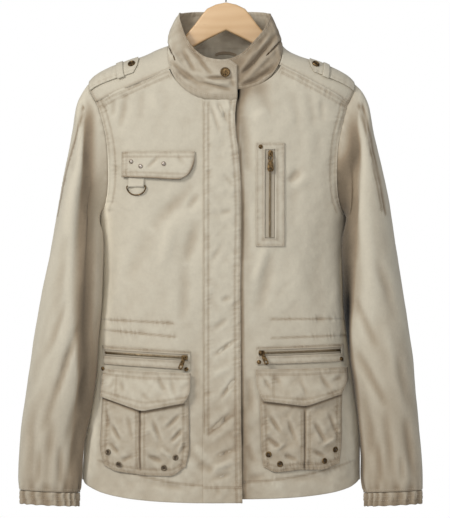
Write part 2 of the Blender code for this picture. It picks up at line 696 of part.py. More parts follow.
def make_cuff(hand):
    """An elastic cuff, gathered all round."""
    last = SLEEVE[-1]
    outer, inner = sleeve_ends(last, hand)
    middle, half = (outer + inner) / 2, (outer - inner) / 2
    count = CUFF_GATHERS * GATHER_SIDES
    rows = []
    for part in (0, 0.5, 1):
        row = []
        for i in range(count):
            angle = math.tau * i / count
            fullness = 0.4 + 0.6 * math.sin(math.pi * (0.2 + 0.6 * part))
            ripple = CUFF_RIPPLE * math.cos(angle * CUFF_GATHERS) * fullness
            size = 1 + ripple / last.half
            point = middle + half * math.cos(angle) * (1 + ripple / abs(half[0]) - 0.012)
            point[1] = last.mid - (last.half - 1) * math.sin(angle) * size
            point[2] -= 0.8 + CUFF_HEIGHT * part
            row.append(point)
        rows.append(row)
    cloth("cuff_r" if hand < 0 else "cuff_l", rows, (hand * 266, -20, -830), closed=True)


# ---------------------------------------------------------------- collar, placket, neck loop
def neck_point(angle, lift):
    """A point of the neckline, moved out by lift and clear of the panels' edge."""
    turn = math.radians(angle)
    x = neck_half(1 if math.sin(turn) > 0 else -1) * math.sin(turn)
    front = math.cos(turn) > 1e-9
    over = angle > 180
    side = (-1 if over else 1) if front else 0
    if abs(math.cos(turn)) < 1e-6:
        return body_point(90 if x > 0 else -90, NECK_DROP) + np.array((0, 0, COLLAR_FOOT_GAP))
    return on_body(x, max(neckline(x, side) - COLLAR_FOOT_GAP, NECK_DROP - COLLAR_FOOT_GAP), lift, front)


COLLAR_AT = {name: curve_through(COLLAR, "angle", name) for name in CollarStay._fields[1:]}


def collar_place(angle, height):
    """A point of the collar, by the angle round the neck and the height up from its foot."""
    foot = neck_point(angle, COLLAR_AT["lift"](angle))
    top = np.array((COLLAR_AT["top_x"](angle), COLLAR_AT["top_y"](angle), -COLLAR_AT["top_drop"](angle)))
    point = foot + (top - foot) * height
    away = np.array((point[0], point[1] + 8, 0))
    away /= max(np.linalg.norm(away), 1)
    point = point + away * COLLAR_AT["swell"](angle) * math.sin(math.pi * height)
    middle, reach, level, width, depth = COLLAR_FOLD
    if angle > 280:
        strength = math.exp(-((point[0] - middle) / reach) ** 2) * math.exp(-((height - level) / width) ** 2)
        point[1] += depth * strength
    return point


def collar_angles():
    """The collar's columns, with one at every corner of the panels round the neck."""
    fronts = list(front_neck_angles())
    over_ridge = [way for way in yoke_ways() if way > -1]
    ridge = []
    for way in sorted(over_ridge, reverse=True)[1:]:
        corner = NECK_CORNER if way >= 0 else BACK_CORNER
        off = math.degrees(math.acos(1 - (1 - corner) * way * way))
        ridge.append(90 - math.copysign(off, way) if way else 90)
    half = fronts + ridge + list(back_neck_angles())[:BACK_NECK_STEPS // 2]
    return ([COLLAR[0].angle] + half + [180] + [360 - angle for angle in half[::-1]]
            + [365, COLLAR[-1].angle])


def make_collar():
    rows = [[collar_place(angle, v) for angle in collar_angles()] for v in COLLAR_ROWS]
    cloth("collar", rows, (0, -5, -130))


def make_placket():
    """The storm flap over the front zip, on both fronts."""
    right = curve_through(PLACKET_EDGE, "drop", "x")
    rows = []
    for v in np.linspace(0, 1, PLACKET_ROWS):
        row = []
        for u in (0, 0.35, 0.7, 1):
            hem = HEM[-1][0] - 0.2
            drop = 216.6 + (hem - 216.6) * v
            x = PLACKET_LEFT + (right(drop) - PLACKET_LEFT) * u
            row.append(on_body(x, drop, LAID_ON + TRIM))
        rows.append(row)
    cloth("placket", rows, (0, 200, -500), wall=TRIM)


def make_hanger_loop():
    """The tape loop inside the back of the neck."""
    rows = []
    for x, drop in ((-17, 141.5), (-11, 139), (-3, 138), (6, 138.5), (14, 141), (20, 144)):
        y = on_body(x, 141, 0, False)[1] - SHELL - 1.4 - 1.5 * math.cos(x / 12)
        rows.append([(x, y, -drop), (x, y, -drop - 5)])
    cloth("hanger_loop", rows, (0, 200, -140), wall=1.0)


# ---------------------------------------------------------------- pieces laid on the fronts
def outline_place(outline, u, v):
    """The place (x, drop) of a patch: u runs left to right and v top to bottom."""
    left, right = straight_through(outline.left)(v), straight_through(outline.right)(v)
    top, bottom = straight_through(outline.top)(u), straight_through(outline.bottom)(u)
    return left + (right - left) * u, top + (bottom - top) * v


def pocket_lift(hand, x, drop):
    """How far the pocket's cloth stands off the front."""
    outline = POCKET[hand]
    top, bottom = outline.top[0][1], 792
    v = min(max((drop - top) / (bottom - top), 0), 1)
    left, right = straight_through(outline.left)(v), straight_through(outline.right)(v)
    u = min(max((x - left) / (right - left), 0), 1)
    swell = POCKET_SWELL * math.sin(math.pi * u) ** 0.5 * math.sin(math.pi * min(0.12 + 0.88 * v, 1)) ** 0.6
    across_pleat = math.exp(-((x - PLEAT_X[hand]) / PLEAT_WIDTH) ** 2)
    pleat = PLEAT_DEPTH * across_pleat * math.sin(math.pi * min(v + 0.2, 1))
    return LAID_ON + TRIM + max(swell - pleat, 0)


def make_pocket(hand):
    spread = (0, 0.06, 0.2, 0.36, 0.45, 0.5, 0.55, 0.64, 0.8, 0.94, 1)
    rows = []
    for v in (0, 0.2, 0.45, 0.7, 0.86, 0.95, 1):
        row = []
        for u in spread:
            x, drop = outline_place(POCKET[hand], u, v)
            row.append(on_body(x, drop, pocket_lift(hand, x, drop)))
        rows.append(row)
    cloth("pocket_r" if hand < 0 else "pocket_l", rows, (0, 200, -700), wall=TRIM)


def flap_lift(hand, x, drop):
    """The pocket's flap lies over the welt, then over the pocket."""
    over_pocket = max(pocket_lift(hand, x + dx, drop) for dx in (-9, -4, 0, 4, 9))
    return max(over_pocket, 2 * (LAID_ON + TRIM) - TRIM) + LAID_ON + TRIM + 0.25


def make_pocket_flap(hand):
    rows = []
    for v in (0, 0.15, 0.5, 0.8, 1):
        row = []
        for u in np.linspace(0, 1, 11):
            x, drop = outline_place(POCKET_FLAP[hand], u, v)
            row.append(on_body(x, drop, flap_lift(hand, x, drop)))
        rows.append(row)
    cloth("flap_r" if hand < 0 else "flap_l", rows, (0, 200, -660), wall=TRIM)


def chest_flap_lift(v):
    return LAID_ON + TRIM + 0.2 + 3.5 * math.sqrt(v)


def make_chest_flap():
    rows = []
    for v in (0, 0.08, 0.25, 0.5, 0.75, 0.9, 1):
        row = []
        for u in np.linspace(0, 1, 9):
            x, drop = outline_place(CHEST_FLAP, u, v)
            row.append(on_body(x, drop, chest_flap_lift(v)))
        rows.append(row)
    cloth("chest_flap", rows, (0, 200, -320), wall=TRIM)


def between(corners, u, v):
    """A place inside four corners; across, equal steps are equal angles of the body."""
    (ax, ad), (bx, bd), (cx, cd), (dx, dd) = corners
    drop = (ad * (1 - u) + bd * u) * (1 - v) + (dd * (1 - u) + cd * u) * v
    left, right = ax * (1 - v) + dx * v, bx * (1 - v) + cx * v
    start, end = angle_of(left, drop), angle_of(right, drop)
    return body_point(start + (end - start) * u, drop)[0], drop


def make_welt(name, outer, window, sides):
    """A frame of cloth round a zip: sides is how many steps there are across and down."""
    across, down = sides
    walk = ([(i / across, 0) for i in range(across)] + [(1, i / down) for i in range(down)]
            + [(1 - i / across, 1) for i in range(across)] + [(0, 1 - i / down) for i in range(down)])
    rows = [[on_body(*between(corners, u, v), LAID_ON + TRIM) for u, v in walk]
            for corners in (outer, window)]
    cloth(name, rows, (0, 200, rows[0][0][2]), wall=TRIM, closed=True)


def make_zip(name, window, upright, steps):
    """The zip in its window: tape, with the row of teeth standing up along its middle."""
    ridge = ((0, 0), (0.33, 0), (0.4, 1.1), (0.6, 1.1), (0.67, 0), (1, 0))
    gap = 0.5
    (ax, ad), (bx, bd), (cx, cd), (dx, dd) = window
    inner = ((ax + gap, ad + gap), (bx - gap, bd + gap), (cx - gap, cd - gap), (dx + gap, dd - gap))
    rows = []
    for i in range(steps + 1):
        row = []
        for part, rise in ridge:
            u, v = (part, i / steps) if upright else (i / steps, part)
            row.append(on_body(*between(inner, u, v), LAID_ON + 0.8 + rise))
        rows.append(row)
    cloth(name, rows, (0, 200, rows[0][0][2]), wall=0.8, finish="zip_tape")


def make_d_tab():
    """The tape that folds round the ring's bar, from under the chest flap."""
    bar, wall = D_RING_WIRE, 1.0
    reach = bar + 0.35 + wall
    centre = LAID_ON + reach
    path = [(D_TAB_TOP, LAID_ON + 2 * wall + 0.5), (335, 3.2), (342, 4.4)]
    path += [(D_RING_DROP + reach * math.sin(a), centre + reach * math.cos(a))
             for a in np.radians((-25, 0, 30, 60, 90, 120, 150, 180))]
    path += [(342, LAID_ON), (D_TAB_TOP, LAID_ON)]
    rows = [[on_body(x, drop, 0) + outward(angle_of(D_RING_X, 340), 340) * lift
             for x in (D_TAB_LEFT, D_TAB_RIGHT)] for drop, lift in path]
    cloth("d_tab", rows, rows[8][0] * (0.5, 0.5, 0.5) + rows[4][1] * (0.5, 0.5, 0.5), wall=wall)


def d_tab_edges(drop):
    return [on_body(x, drop) for x in (D_TAB_LEFT, D_TAB_RIGHT)]


def d_ring_centre():
    reach = D_RING_WIRE + 0.35 + 1.0
    left, right = d_tab_edges(D_RING_DROP)
    return (left + right) / 2 + outward(angle_of(D_RING_X, 340), 340) * (LAID_ON + reach)


def make_d_ring():
    half, fall = D_RING_WIDTH / 2 - D_RING_WIRE, D_RING_FALL
    left, right = d_tab_edges(D_RING_DROP)
    lean = (right[1] - left[1]) / (D_TAB_RIGHT - D_TAB_LEFT)
    bar = [(x, lean * x, 0) for x in np.linspace(-half, half, 4)]
    bow = [(half * math.cos(a), lean * half * math.cos(a), -fall * math.sin(a) ** 0.9)
           for a in np.linspace(0, math.pi, 13)[1:-1]]
    wire("d_ring", bar + bow, D_RING_WIRE, "antique_brass", cyclic=True, sides=1, origin=d_ring_centre())


# ---------------------------------------------------------------- metal on the cloth
def make_rivet(name, place, lift, finish, radius=RIVET_RADIUS):
    x, drop = place
    profile = [(0, RIVET_HEIGHT), (0.5 * radius, 0.85 * RIVET_HEIGHT), (0.88 * radius, 0.5 * RIVET_HEIGHT),
               (radius, 0.15 * RIVET_HEIGHT), (radius, 0), (0, 0)]
    turned(name, profile, 8, on_body(x, drop, lift), outward(angle_of(x, drop), drop), finish)


def snap_cap(name, radius, at, direction):
    """A pressed snap cap: flat field, raised rim, rolled edge."""
    h = SNAP_HEIGHT
    profile = [(0, 0.72 * h), (0.62 * radius, 0.72 * h), (0.7 * radius, h), (0.86 * radius, h),
               (radius, 0.55 * h), (radius, 0), (0, 0)]
    turned(name, profile, 16, at, direction, "antique_brass")


def make_collar_snap():
    x_target, height = COLLAR_SNAP
    angle = min(range(300, 371), key=lambda a: abs(collar_place(a, height)[0] - x_target))
    here = collar_place(angle, height)
    beside = collar_place(angle + 3, height) - collar_place(angle - 3, height)
    above = collar_place(angle, height + 0.05) - collar_place(angle, height - 0.05)
    way = np.cross(beside, above)
    way = way / np.linalg.norm(way) * (1 if way[1] < 0 else -1)
    snap_cap("collar_snap", SNAP_RADIUS, here + way * 0.6, way)


def make_eyelets(hand):
    for i, (x, drop) in enumerate(EYELETS[hand]):
        bpy.ops.mesh.primitive_torus_add(major_segments=11, minor_segments=4, major_radius=EYELET_RADIUS * MM,
                                         minor_radius=EYELET_WIRE * MM, abso_major_rad=1, abso_minor_rad=1)
        torus = bpy.context.object
        name = f"eyelet_{'r' if hand < 0 else 'l'}{i + 1}"
        mesh = torus.data
        bpy.data.objects.remove(torus, do_unlink=True)
        item = add_object(name, mesh, "antique_brass")
        way = outward(angle_of(x, drop), drop)
        lift = pocket_lift(hand, x, drop) + EYELET_WIRE + 0.75
        facing(item, on_body(x, drop, lift), way)


def make_slider(name, centre, upright):
    """A zip slider: a rounded plate with an arched bail, in one piece."""
    wide, tall, thick = SLIDER_SIZE if upright else (SLIDER_SIZE[1], SLIDER_SIZE[0], SLIDER_SIZE[2])
    x, drop = centre
    base = on_body(x, drop, SLIDER_LIFT)
    outline = [(wide / 2 * math.copysign(abs(math.cos(a)) ** 0.6, math.cos(a)),
                tall / 2 * math.copysign(abs(math.sin(a)) ** 0.6, math.sin(a)))
               for a in (math.tau * (i + 0.5) / 12 for i in range(12))]
    plate = cut_flat(name, (outline,), thick / 2, "antique_brass")
    plate.location = Vector((base[0], base[1] - thick / 2, base[2])) * MM
    plate = as_mesh(plate)
    turns = np.radians(np.linspace(0, 180, 7))
    rise = -thick / 2 - BAIL_LIFT
    arch = [(BAIL_RADIUS * math.cos(a), rise - BAIL_RADIUS * math.sin(a)) for a in turns]
    arch = [(arch[0][0], 0.2)] + arch + [(arch[-1][0], 0.2)]
    points = [(0, y, along) if upright else (along, y, 0) for along, y in arch]
    middle = (base[0], base[1] - thick / 2, base[2])
    weld_on(plate, as_mesh(wire(name + "_bail", points, BAIL_WIRE, "antique_brass", sides=1, origin=middle)))
    return np.array((base[0], base[1] - thick - BAIL_LIFT, base[2]))


def make_chest_pull(axis):
    """The long pull: an oval link whose head lies in the bail, and a tab with a small hole."""
    bar = 0.75
    link = ellipse(4.2, 7.4, (0, -7.4 + bar), 16, math.pi / 2)
    upper = [p for p in link if p[1] > -12.2]
    right = sorted((p for p in upper if p[0] > 0.1), key=lambda p: -p[1])
    left = sorted((p for p in upper if p[0] < -0.1), key=lambda p: p[1])
    tab = [(4.2, -15), (5, -24), (3.6, -27.5), (-3.6, -27.5), (-5, -24), (-4.2, -15)]
    edge = [(0, bar)] + right + tab + left
    opening = ellipse(2.7, 5.2, (0, -bar - 5.2), 10, math.pi / 2)
    hole = ellipse(1.3, 1.3, (0, -23.4), 8)
    pull = cut_flat("chest_pull", (edge, opening, hole), PULL_HALF_THICKNESS, "antique_brass")
    pull.location = Vector(axis) * MM


def make_pocket_pull(hand, axis):
    """A short pull: an eye round the bail's bar, and a flat tab with a hole hanging from it."""
    name = "pull_r" if hand < 0 else "pull_l"
    tilt = math.radians(PULL_TILT[hand])
    neck, length, half = 3.2, 19.5, 3.6
    edge = [(-1.1, -neck + 1.3), (1.1, -neck + 1.3), (half - 0.6, -neck - 2.5), (half, -length + 3),
            (half - 1.4, -length), (-half + 1.4, -length), (-half, -length + 3), (-half + 0.6, -neck - 2.5)]
    hole = ellipse(1.4, 1.9, (0, -length + 4.4), 8)

    def lean(points):
        return [(x * math.cos(tilt) - z * math.sin(tilt), x * math.sin(tilt) + z * math.cos(tilt))
                for x, z in points]
    tab = cut_flat(name, (lean(edge), lean(hole)), PULL_HALF_THICKNESS, "antique_brass")
    tab.location = Vector(axis) * MM
    tab = as_mesh(tab, axis)
    eye = [(0, 1.9 * math.sin(a), 1.9 * math.cos(a) - 0.15) for a in (math.tau * i / 10 for i in range(10))]
    weld_on(tab, as_mesh(wire(name + "_eye", eye, 0.75, "antique_brass", cyclic=True, sides=1, origin=axis)))


# ---------------------------------------------------------------- epaulettes
def make_epaulette(hand):
    """The strap along the shoulder, its tip to the neck, its loop, and its snap."""
    tag = "r" if hand < 0 else "l"
    inner, point = EPAULETTE["inner"], EPAULETTE["point"]
    middle = (EPAULETTE["front"] + EPAULETTE["back"]) / 2
    half = (EPAULETTE["front"] - EPAULETTE["back"]) / 2
    rows = []
    for s in np.linspace(0, 1, 8):
        narrow = 1 if s > 0.1 else 0.55 + 4.5 * s
        row = []
        for w in np.linspace(-1, 1, 7):
            t = middle + half * w * narrow
            where = inner + (0.985 - inner) * s + point * 0.35 * abs(w) * (1 - s)
            row.append(on_yoke(hand, where, t, EPAULETTE_LIFT))
        rows.append(row)
    heart = on_yoke(hand, 0.7, 0)
    cloth(f"epaulette_{tag}", rows, (heart[0], 0, heart[2] - 40), wall=TRIM)
    loop = [[on_yoke(hand, LOOP_AT + LOOP_WIDTH * (s - 0.5), middle + (half + 0.05) * w, EPAULETTE_LIFT + 1.9)
             for w in np.linspace(-1, 1, 7)] for s in (0, 1)]
    cloth(f"epaulette_loop_{tag}", loop, (heart[0], 0, heart[2] - 40), wall=TRIM)
    place = (inner + 0.09, 0.30)
    at = on_yoke(hand, *place, EPAULETTE_LIFT + 0.5)
    x, drop, front = yoke_place(hand, *place)
    snap_cap(f"epaulette_snap_{tag}", SHOULDER_SNAP_RADIUS, at, outward(angle_of(x, drop), drop, front))


# ---------------------------------------------------------------- the jacket
def make_jacket():
    make_hanger()
    make_hook()
    make_back()
    make_collar()
    make_collar_snap()
    make_placket()
    make_hanger_loop()
    for hand in (-1, 1):
        make_front(hand)
        make_yoke(hand)
        make_sleeve(hand)
        make_cuff(hand)
        make_epaulette(hand)
        tag = "r" if hand < 0 else "l"
        make_welt(f"welt_{tag}", POCKET_WELT[hand], POCKET_WINDOW[hand], (10, 2))
        make_zip(f"zip_{tag}", POCKET_WINDOW[hand], False, 10)
        make_pocket(hand)
        make_pocket_flap(hand)
        make_eyelets(hand)
        axis = make_slider(f"slider_{tag}", POCKET_SLIDER[hand], False)
        make_pocket_pull(hand, axis - (0, BAIL_RADIUS, 0))
        for i, place in enumerate(POCKET_RIVETS[hand]):
            make_rivet(f"rivet_{tag}{i + 1}", place, LAID_ON + TRIM + 0.35, "antique_brass", 2.9)
    make_chest_flap()
    make_d_tab()
    make_d_ring()
    for i, place in enumerate(FLAP_RIVETS):
        v = (place[1] - 296.3) / 41
        make_rivet(f"flap_rivet_{i + 1}", place, chest_flap_lift(v) + 0.45, "nickel")
    make_welt("chest_welt", CHEST_WELT, CHEST_WINDOW, (4, 8))
    make_zip("chest_zip", CHEST_WINDOW, True, 8)
    make_rivet("chest_rivet", CHEST_RIVET, LAID_ON + TRIM + 0.35, "antique_brass")
    make_chest_pull(make_slider("chest_slider", CHEST_SLIDER, True))


clear_scene()
JACKET = bpy.data.collections.new("safari_jacket")
GUIDES = bpy.data.collections.new("cutters")
bpy.context.scene.collection.children.link(JACKET)
bpy.context.scene.collection.children.link(GUIDES)
make_jacket()
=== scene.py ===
# %% [markdown]
# # A safari jacket on a wooden hanger
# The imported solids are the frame: they say where everything is. This script dresses them. Every cloth
# piece is rebuilt as a thin shell on the same master surface, at a far finer spacing, with the folds,
# puckers and gathers of washed cotton in it. The metal keeps its place and gets a finer form.

# %% Start from the frame
import math
from collections import namedtuple

import bmesh
import bpy
import numpy as np
from mathutils import Matrix, Vector, noise
from mathutils.bvhtree import BVHTree


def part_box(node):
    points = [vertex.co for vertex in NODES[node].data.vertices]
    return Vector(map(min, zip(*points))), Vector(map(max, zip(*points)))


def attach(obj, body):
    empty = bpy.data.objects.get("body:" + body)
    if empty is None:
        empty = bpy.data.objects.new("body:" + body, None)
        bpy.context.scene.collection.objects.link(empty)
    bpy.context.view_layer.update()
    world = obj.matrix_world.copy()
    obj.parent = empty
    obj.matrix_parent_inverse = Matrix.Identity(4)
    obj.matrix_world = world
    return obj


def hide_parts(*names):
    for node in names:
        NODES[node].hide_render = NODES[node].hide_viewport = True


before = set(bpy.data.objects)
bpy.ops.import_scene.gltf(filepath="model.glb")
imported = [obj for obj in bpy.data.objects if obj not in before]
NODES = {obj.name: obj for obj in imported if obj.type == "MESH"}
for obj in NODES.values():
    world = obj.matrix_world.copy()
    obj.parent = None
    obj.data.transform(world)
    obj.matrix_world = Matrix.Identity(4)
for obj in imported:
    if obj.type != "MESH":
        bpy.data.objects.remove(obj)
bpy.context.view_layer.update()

# %% [markdown]
# ## Sizes
# A pattern cutter thinks in millimetres, and so does this script: only the last step of a piece turns
# them into metres. Heights are given as a drop below the point where the hook rests on its rail. The
# tables below are the driving sizes of the jacket, the same ones that its solids were built from.

# %% The body's level sections, the neck, the armholes and the hem
MM = 0.001
WALL = 1.2             # cloth
TRIM_WALL = 1.1        # pockets, flaps, welts
LAID_ON = 0.8          # clear space under what is sewn on a panel
TRIM = 1.2             # thickness kept for a sewn-on piece
FLAT_FRONT, EDGE_SPREAD = 2.6, 0.85      # how boxy a level section is, how its points crowd to the sides
SEAM_GAP = 0.3         # between two panels that meet

Section = namedtuple("Section", "drop left right front back seam")
BODY = [Section(*row) for row in (
    (131.6, -90, 88, -34, 36, 0), (137, -105, 94, -38, 38, 0),
    (147, -126, 112, -43, 41, 0), (156, -151, 139, -46, 43, 0),
    (166, -177, 162, -48, 45, 0), (179, -201, 186, -51, 47, 0),
    (190, -212, 198, -53, 49, 0), (230, -214, 203, -57, 53, 3),
    (300, -210, 199, -61, 57, 6), (395, -198, 187, -63, 58, 8),
    (514, -195, 184, -62, 54, 8), (586, -200, 189, -61, 52, 8),
    (652, -205, 200, -63, 54, 8), (720, -217, 207, -66, 57, 8),
    (798, -223, 208, -69, 60, 8), (850, -226, 209, -71, 62, 8),
)]
SHOULDER_DROP, ARMPIT_DROP, NECK_DROP = 190, 395, 131.6
NECK_POWER, NECK_CORNER, BACK_CORNER = 2.3, 0.932, 0.8
NECK_DEPTH = {-1: 84, 1: 70, 0: 6}           # right front, left front, back
ARMHOLE_INSET = {True: 0.133, False: 0.09}          # front, back
YOKE_TURN = 45         # where the yoke's seam meets the armhole, in degrees round it
RIDGE_BAND, RIDGE_OUT, RIDGE_TURN = 0.12, 0.47, 2.4      # how the way out turns over the shoulder's ridge
HEM = {-1: (836, 42), 1: (830, 34), 0: (812, 9)}         # drop in the middle, rise at the side
HEM_POWER, HEM_HALF = 2.2, 205           # how late the hem turns up, how far out its side is
FRONT_EDGE = 3         # where each front starts, out from the middle
SPREAD_FROM = 235      # from this drop on, a panel's columns spread round the side
HANDS = (-1, 1)
TAG = {-1: "r", 1: "l"}

# %% [markdown]
# A table gives a size at a few heights. Between them a smooth curve is read off, here for whole arrays
# of places at once, which keeps a fine mesh quick to work out.


# %% Curves through tables
def curve_through(keys, values):
    """A smooth function through (key, value) pairs, for arrays."""
    keys, values = np.asarray(keys, float), np.asarray(values, float)
    slopes = np.gradient(values, keys)

    def at(x):
        x = np.clip(x, keys[0], keys[-1])
        i = np.clip(np.searchsorted(keys, x, side="right") - 1, 0, len(keys) - 2)
        step = keys[i + 1] - keys[i]
        t = (x - keys[i]) / step
        return ((2 * t**3 - 3 * t**2 + 1) * values[i] + (t**3 - 2 * t**2 + t) * step * slopes[i]
                + (3 * t**2 - 2 * t**3) * values[i + 1] + (t**3 - t**2) * step * slopes[i + 1])
    return at


def table_curves(rows, key):
    """A smooth function for each column of a table, by one of its columns or by the row's number."""
    keys = [getattr(row, key) for row in rows] if key else range(len(rows))
    return {name: curve_through(keys, [getattr(row, name) for row in rows])
            for name in rows[0]._fields if name != key}


def ease(x, low, high):
    """0 below low, 1 above high, smooth between."""
    t = np.clip((x - low) / (high - low), 0, 1)
    return t * t * (3 - 2 * t)


def bell(distance, width):
    """1 at no distance, 0.37 at one width, next to nothing at two."""
    return np.exp(-(distance / width) ** 2)


def unit_grid(columns, rows):
    """Two grids that run from 0 to 1: across the columns, and down the rows."""
    return np.broadcast_arrays(np.linspace(0, 1, columns)[None, :], np.linspace(0, 1, rows)[:, None])

# %% [markdown]
# The body of the jacket is one surface, like a dress form: every panel and everything sewn on a panel is
# a part of it. A place on it is an angle round it and a drop. Its section is an ellipse made flat, since
# a jacket on a hanger is. The neckline, the armholes and the side seams are lines on this surface.

# %% The master surface and its openings
BODY_AT = table_curves(BODY, "drop")


def side_of(hand):
    """The column of the body's table for a hand."""
    return "left" if hand < 0 else "right"


def body_point(angle, drop, front=True):
    """Points of the body: angle -90 is its left edge, 0 the middle and 90 its right edge."""
    angle, drop, front = np.broadcast_arrays(angle, drop, front)
    left, right, seam = (BODY_AT[name](drop) for name in ("left", "right", "seam"))
    face = np.where(front, BODY_AT["front"](drop), BODY_AT["back"](drop))
    turn = np.sin(np.radians(angle))
    across = np.sign(turn) * np.abs(turn) ** EDGE_SPREAD
    depth = np.sqrt(np.maximum(0, 1 - np.abs(across) ** FLAT_FRONT))
    return np.stack((left + (right - left) * (1 + across) / 2, seam + (face - seam) * depth, -drop), -1)


def angle_of(x, drop):
    """The angle round the body at an x: the other way round from body_point."""
    left, right = BODY_AT["left"](drop), BODY_AT["right"](drop)
    across = np.clip((2 * x - left - right) / (right - left), -1, 1)
    return np.degrees(np.sign(across) * np.arcsin(np.abs(across) ** (1 / EDGE_SPREAD)))


def unit(vectors):
    """Vectors made one long."""
    return vectors / np.maximum(np.linalg.norm(vectors, axis=-1, keepdims=True), 1e-9)


def outward(angle, drop, front=True):
    """The way out of the body at a place, as a unit vector."""
    step = 0.5
    angle = np.clip(angle, -89.9 + step, 89.9 - step)
    along = body_point(angle + step, drop, front) - body_point(angle - step, drop, front)
    down = body_point(angle, drop + step, front) - body_point(angle, drop - step, front)
    sign = np.where(np.broadcast_to(front, np.shape(along)[:-1]), -1, 1)
    return unit(np.cross(along, down) * sign[..., None])


def neck_half(hand):
    """How far out the neckline starts on a hand's side."""
    return abs(float(BODY_AT[side_of(hand)](NECK_DROP)))


def neckline(x, side):
    """The neckline's drop at x: side is -1 or 1 for the fronts and 0 for the back."""
    half = np.where(np.asarray(x) < 0, neck_half(-1), neck_half(1))
    part = np.clip(np.abs(x) / half, 0, 1)
    return NECK_DROP + NECK_DEPTH[side] * (1 - part ** NECK_POWER) ** (1 / NECK_POWER)


def turn_drop(turn):
    """The drop of a place on the armhole: turn 0 is its top and 180 its foot."""
    middle, half = (SHOULDER_DROP + ARMPIT_DROP) / 2, (ARMPIT_DROP - SHOULDER_DROP) / 2
    return middle - half * np.cos(np.radians(turn))


SEAM_DROP = float(turn_drop(YOKE_TURN))


def armhole_across(drop, front):
    """How far out the armhole lies, as a part of the section's half width."""
    middle, half = (SHOULDER_DROP + ARMPIT_DROP) / 2, (ARMPIT_DROP - SHOULDER_DROP) / 2
    height = np.clip((middle - drop) / half, -1, 1)
    around = np.sqrt(1 - height * height)
    inset = np.where(front, ARMHOLE_INSET[True], ARMHOLE_INSET[False])
    return np.where(drop >= ARMPIT_DROP, 1.0, 1 - inset * around ** np.where(height > 0, 2, 1.2))


def edge_angle(drop, hand, front):
    """The angle of a panel's outer edge: the armhole, then the side seam."""
    half_gap = math.degrees(SEAM_GAP / 2 / 65)
    across = armhole_across(np.maximum(drop, SHOULDER_DROP), front)
    return hand * np.minimum(np.degrees(np.arcsin(across ** (1 / EDGE_SPREAD))), 90 - half_gap)


def armhole_x(drop, hand, front):
    """The x of a panel's outer edge."""
    drop = np.maximum(drop, SHOULDER_DROP)
    return body_point(edge_angle(drop, hand, front), drop, front)[..., 0]


print("yoke seam meets the armhole at", round(SEAM_DROP, 1), "mm down")

# %% [markdown]
# ## How the cloth is disturbed
# Cotton that was sewn and then washed is never flat. Three things show: long soft folds where the weight of
# the garment pulls, short puckers along every row of stitches, where the thread has shrunk more than the
# cloth, and a faint crumple everywhere. A cloth simulation gives folds, but not these folds. So each is
# placed one by one: a fold is a line on the front with a depth and a width, a sewn line is a groove with
# puckers beside it, and both are added up into one relief that every piece at that place shares. That is why
# a pocket follows the front under it.

# %% Folds and sewn lines: what a place on the cloth gets from them
Fold = namedtuple("Fold", "x0 drop0 x1 drop1 depth width")
Seam = namedtuple("Seam", "points pucker pitch groove")


def fold_table(*rows):
    """Folds from rows of six: where one starts (x, drop), where it ends, how deep and how wide it is."""
    return [Fold(*row) for row in rows]


def crumple(x, y, size, seed=0.0):
    """Smooth noise of about -1 to 1 over arrays of places."""
    flat_x, flat_y = np.ravel(x) / size, np.ravel(y) / size
    values = [noise.noise(Vector((a, b, seed + 0.37))) for a, b in zip(flat_x, flat_y)]
    return np.reshape(values, np.shape(x))


def along_line(x, y, points):
    """For every place, its distance from a line, on which side, and how far along it lies."""
    best = np.full(np.shape(x), 1e9)
    side, along = np.zeros(np.shape(x)), np.zeros(np.shape(x))
    start = 0.0
    for (ax, ay), (bx, by) in zip(points, points[1:]):
        length = math.hypot(bx - ax, by - ay)
        ux, uy = (bx - ax) / length, (by - ay) / length
        t = (x - ax) * ux + (y - ay) * uy
        held = np.clip(t, 0, length)
        off = (x - ax) * uy - (y - ay) * ux
        distance = np.hypot(x - ax - ux * held, y - ay - uy * held)
        nearer = distance < best
        best = np.where(nearer, distance, best)
        side = np.where(nearer, np.sign(off), side)
        along = np.where(nearer, start + held, along)
        start += length
    return best, side, along, start


FOLD_STRENGTH = 1.5


def fold_height(x, y, folds):
    """Soft troughs (depth above 0) and ridges (below 0), with a shallow rise on both sides."""
    height = np.zeros(np.shape(x))
    for fold in folds:
        length = math.hypot(fold.x1 - fold.x0, fold.drop1 - fold.drop0)
        distance, _, along, _ = along_line(x, y, ((fold.x0, fold.drop0), (fold.x1, fold.drop1)))
        ends = np.sin(np.pi * np.clip(along / length, 0.02, 0.98)) ** 0.7
        r = distance / fold.width
        height -= FOLD_STRENGTH * fold.depth * ends * np.exp(-r * r) * (1.35 - 0.6 * r * r)
    return height


def seam_height(x, y, seams, seed=0.0):
    """Grooves along the stitches with puckers beside them, and the tone there: painted shade in the groove,
    painted light and shade on the puckers, and a darker band beside the row.
    """
    height, pale = np.zeros(np.shape(x)), np.zeros(np.shape(x))
    for k, seam in enumerate(seams):
        xs, ys = [p[0] for p in seam.points], [p[1] for p in seam.points]
        near = ((x > min(xs) - 16) & (x < max(xs) + 16) & (y > min(ys) - 16) & (y < max(ys) + 16))
        if not near.any():
            continue
        px, py = x[near], y[near]
        distance, side, along, _ = along_line(px, py, seam.points)
        drift = np.array([noise.noise(Vector((a / 13, k * 3.1, seed))) for a in along])
        strength = np.array([noise.noise(Vector((a / 19, k * 5.7, seed + 9))) for a in along])
        wave = np.sin(2 * np.pi * along / seam.pitch + 9.0 * drift + 1.6 * side * distance / seam.pitch)
        reach = bell(distance, 0.62 * seam.pitch)
        size = seam.pucker * np.clip(0.6 + 1.6 * strength, 0.05, 1.3)
        groove = seam.groove * bell(distance, 1.5)
        height[near] += size * wave * reach - groove
        # Painted shade in the groove, painted light and shade on the puckers, and a darker band beside the
        # row.
        toned = bell(distance, 4.5) * (0.3 + 0.5 * strength)
        pale[near] += 0.10 * reach * wave * (seam.pucker > 0) - 3.0 * groove - 0.7 * toned
    return height, pale


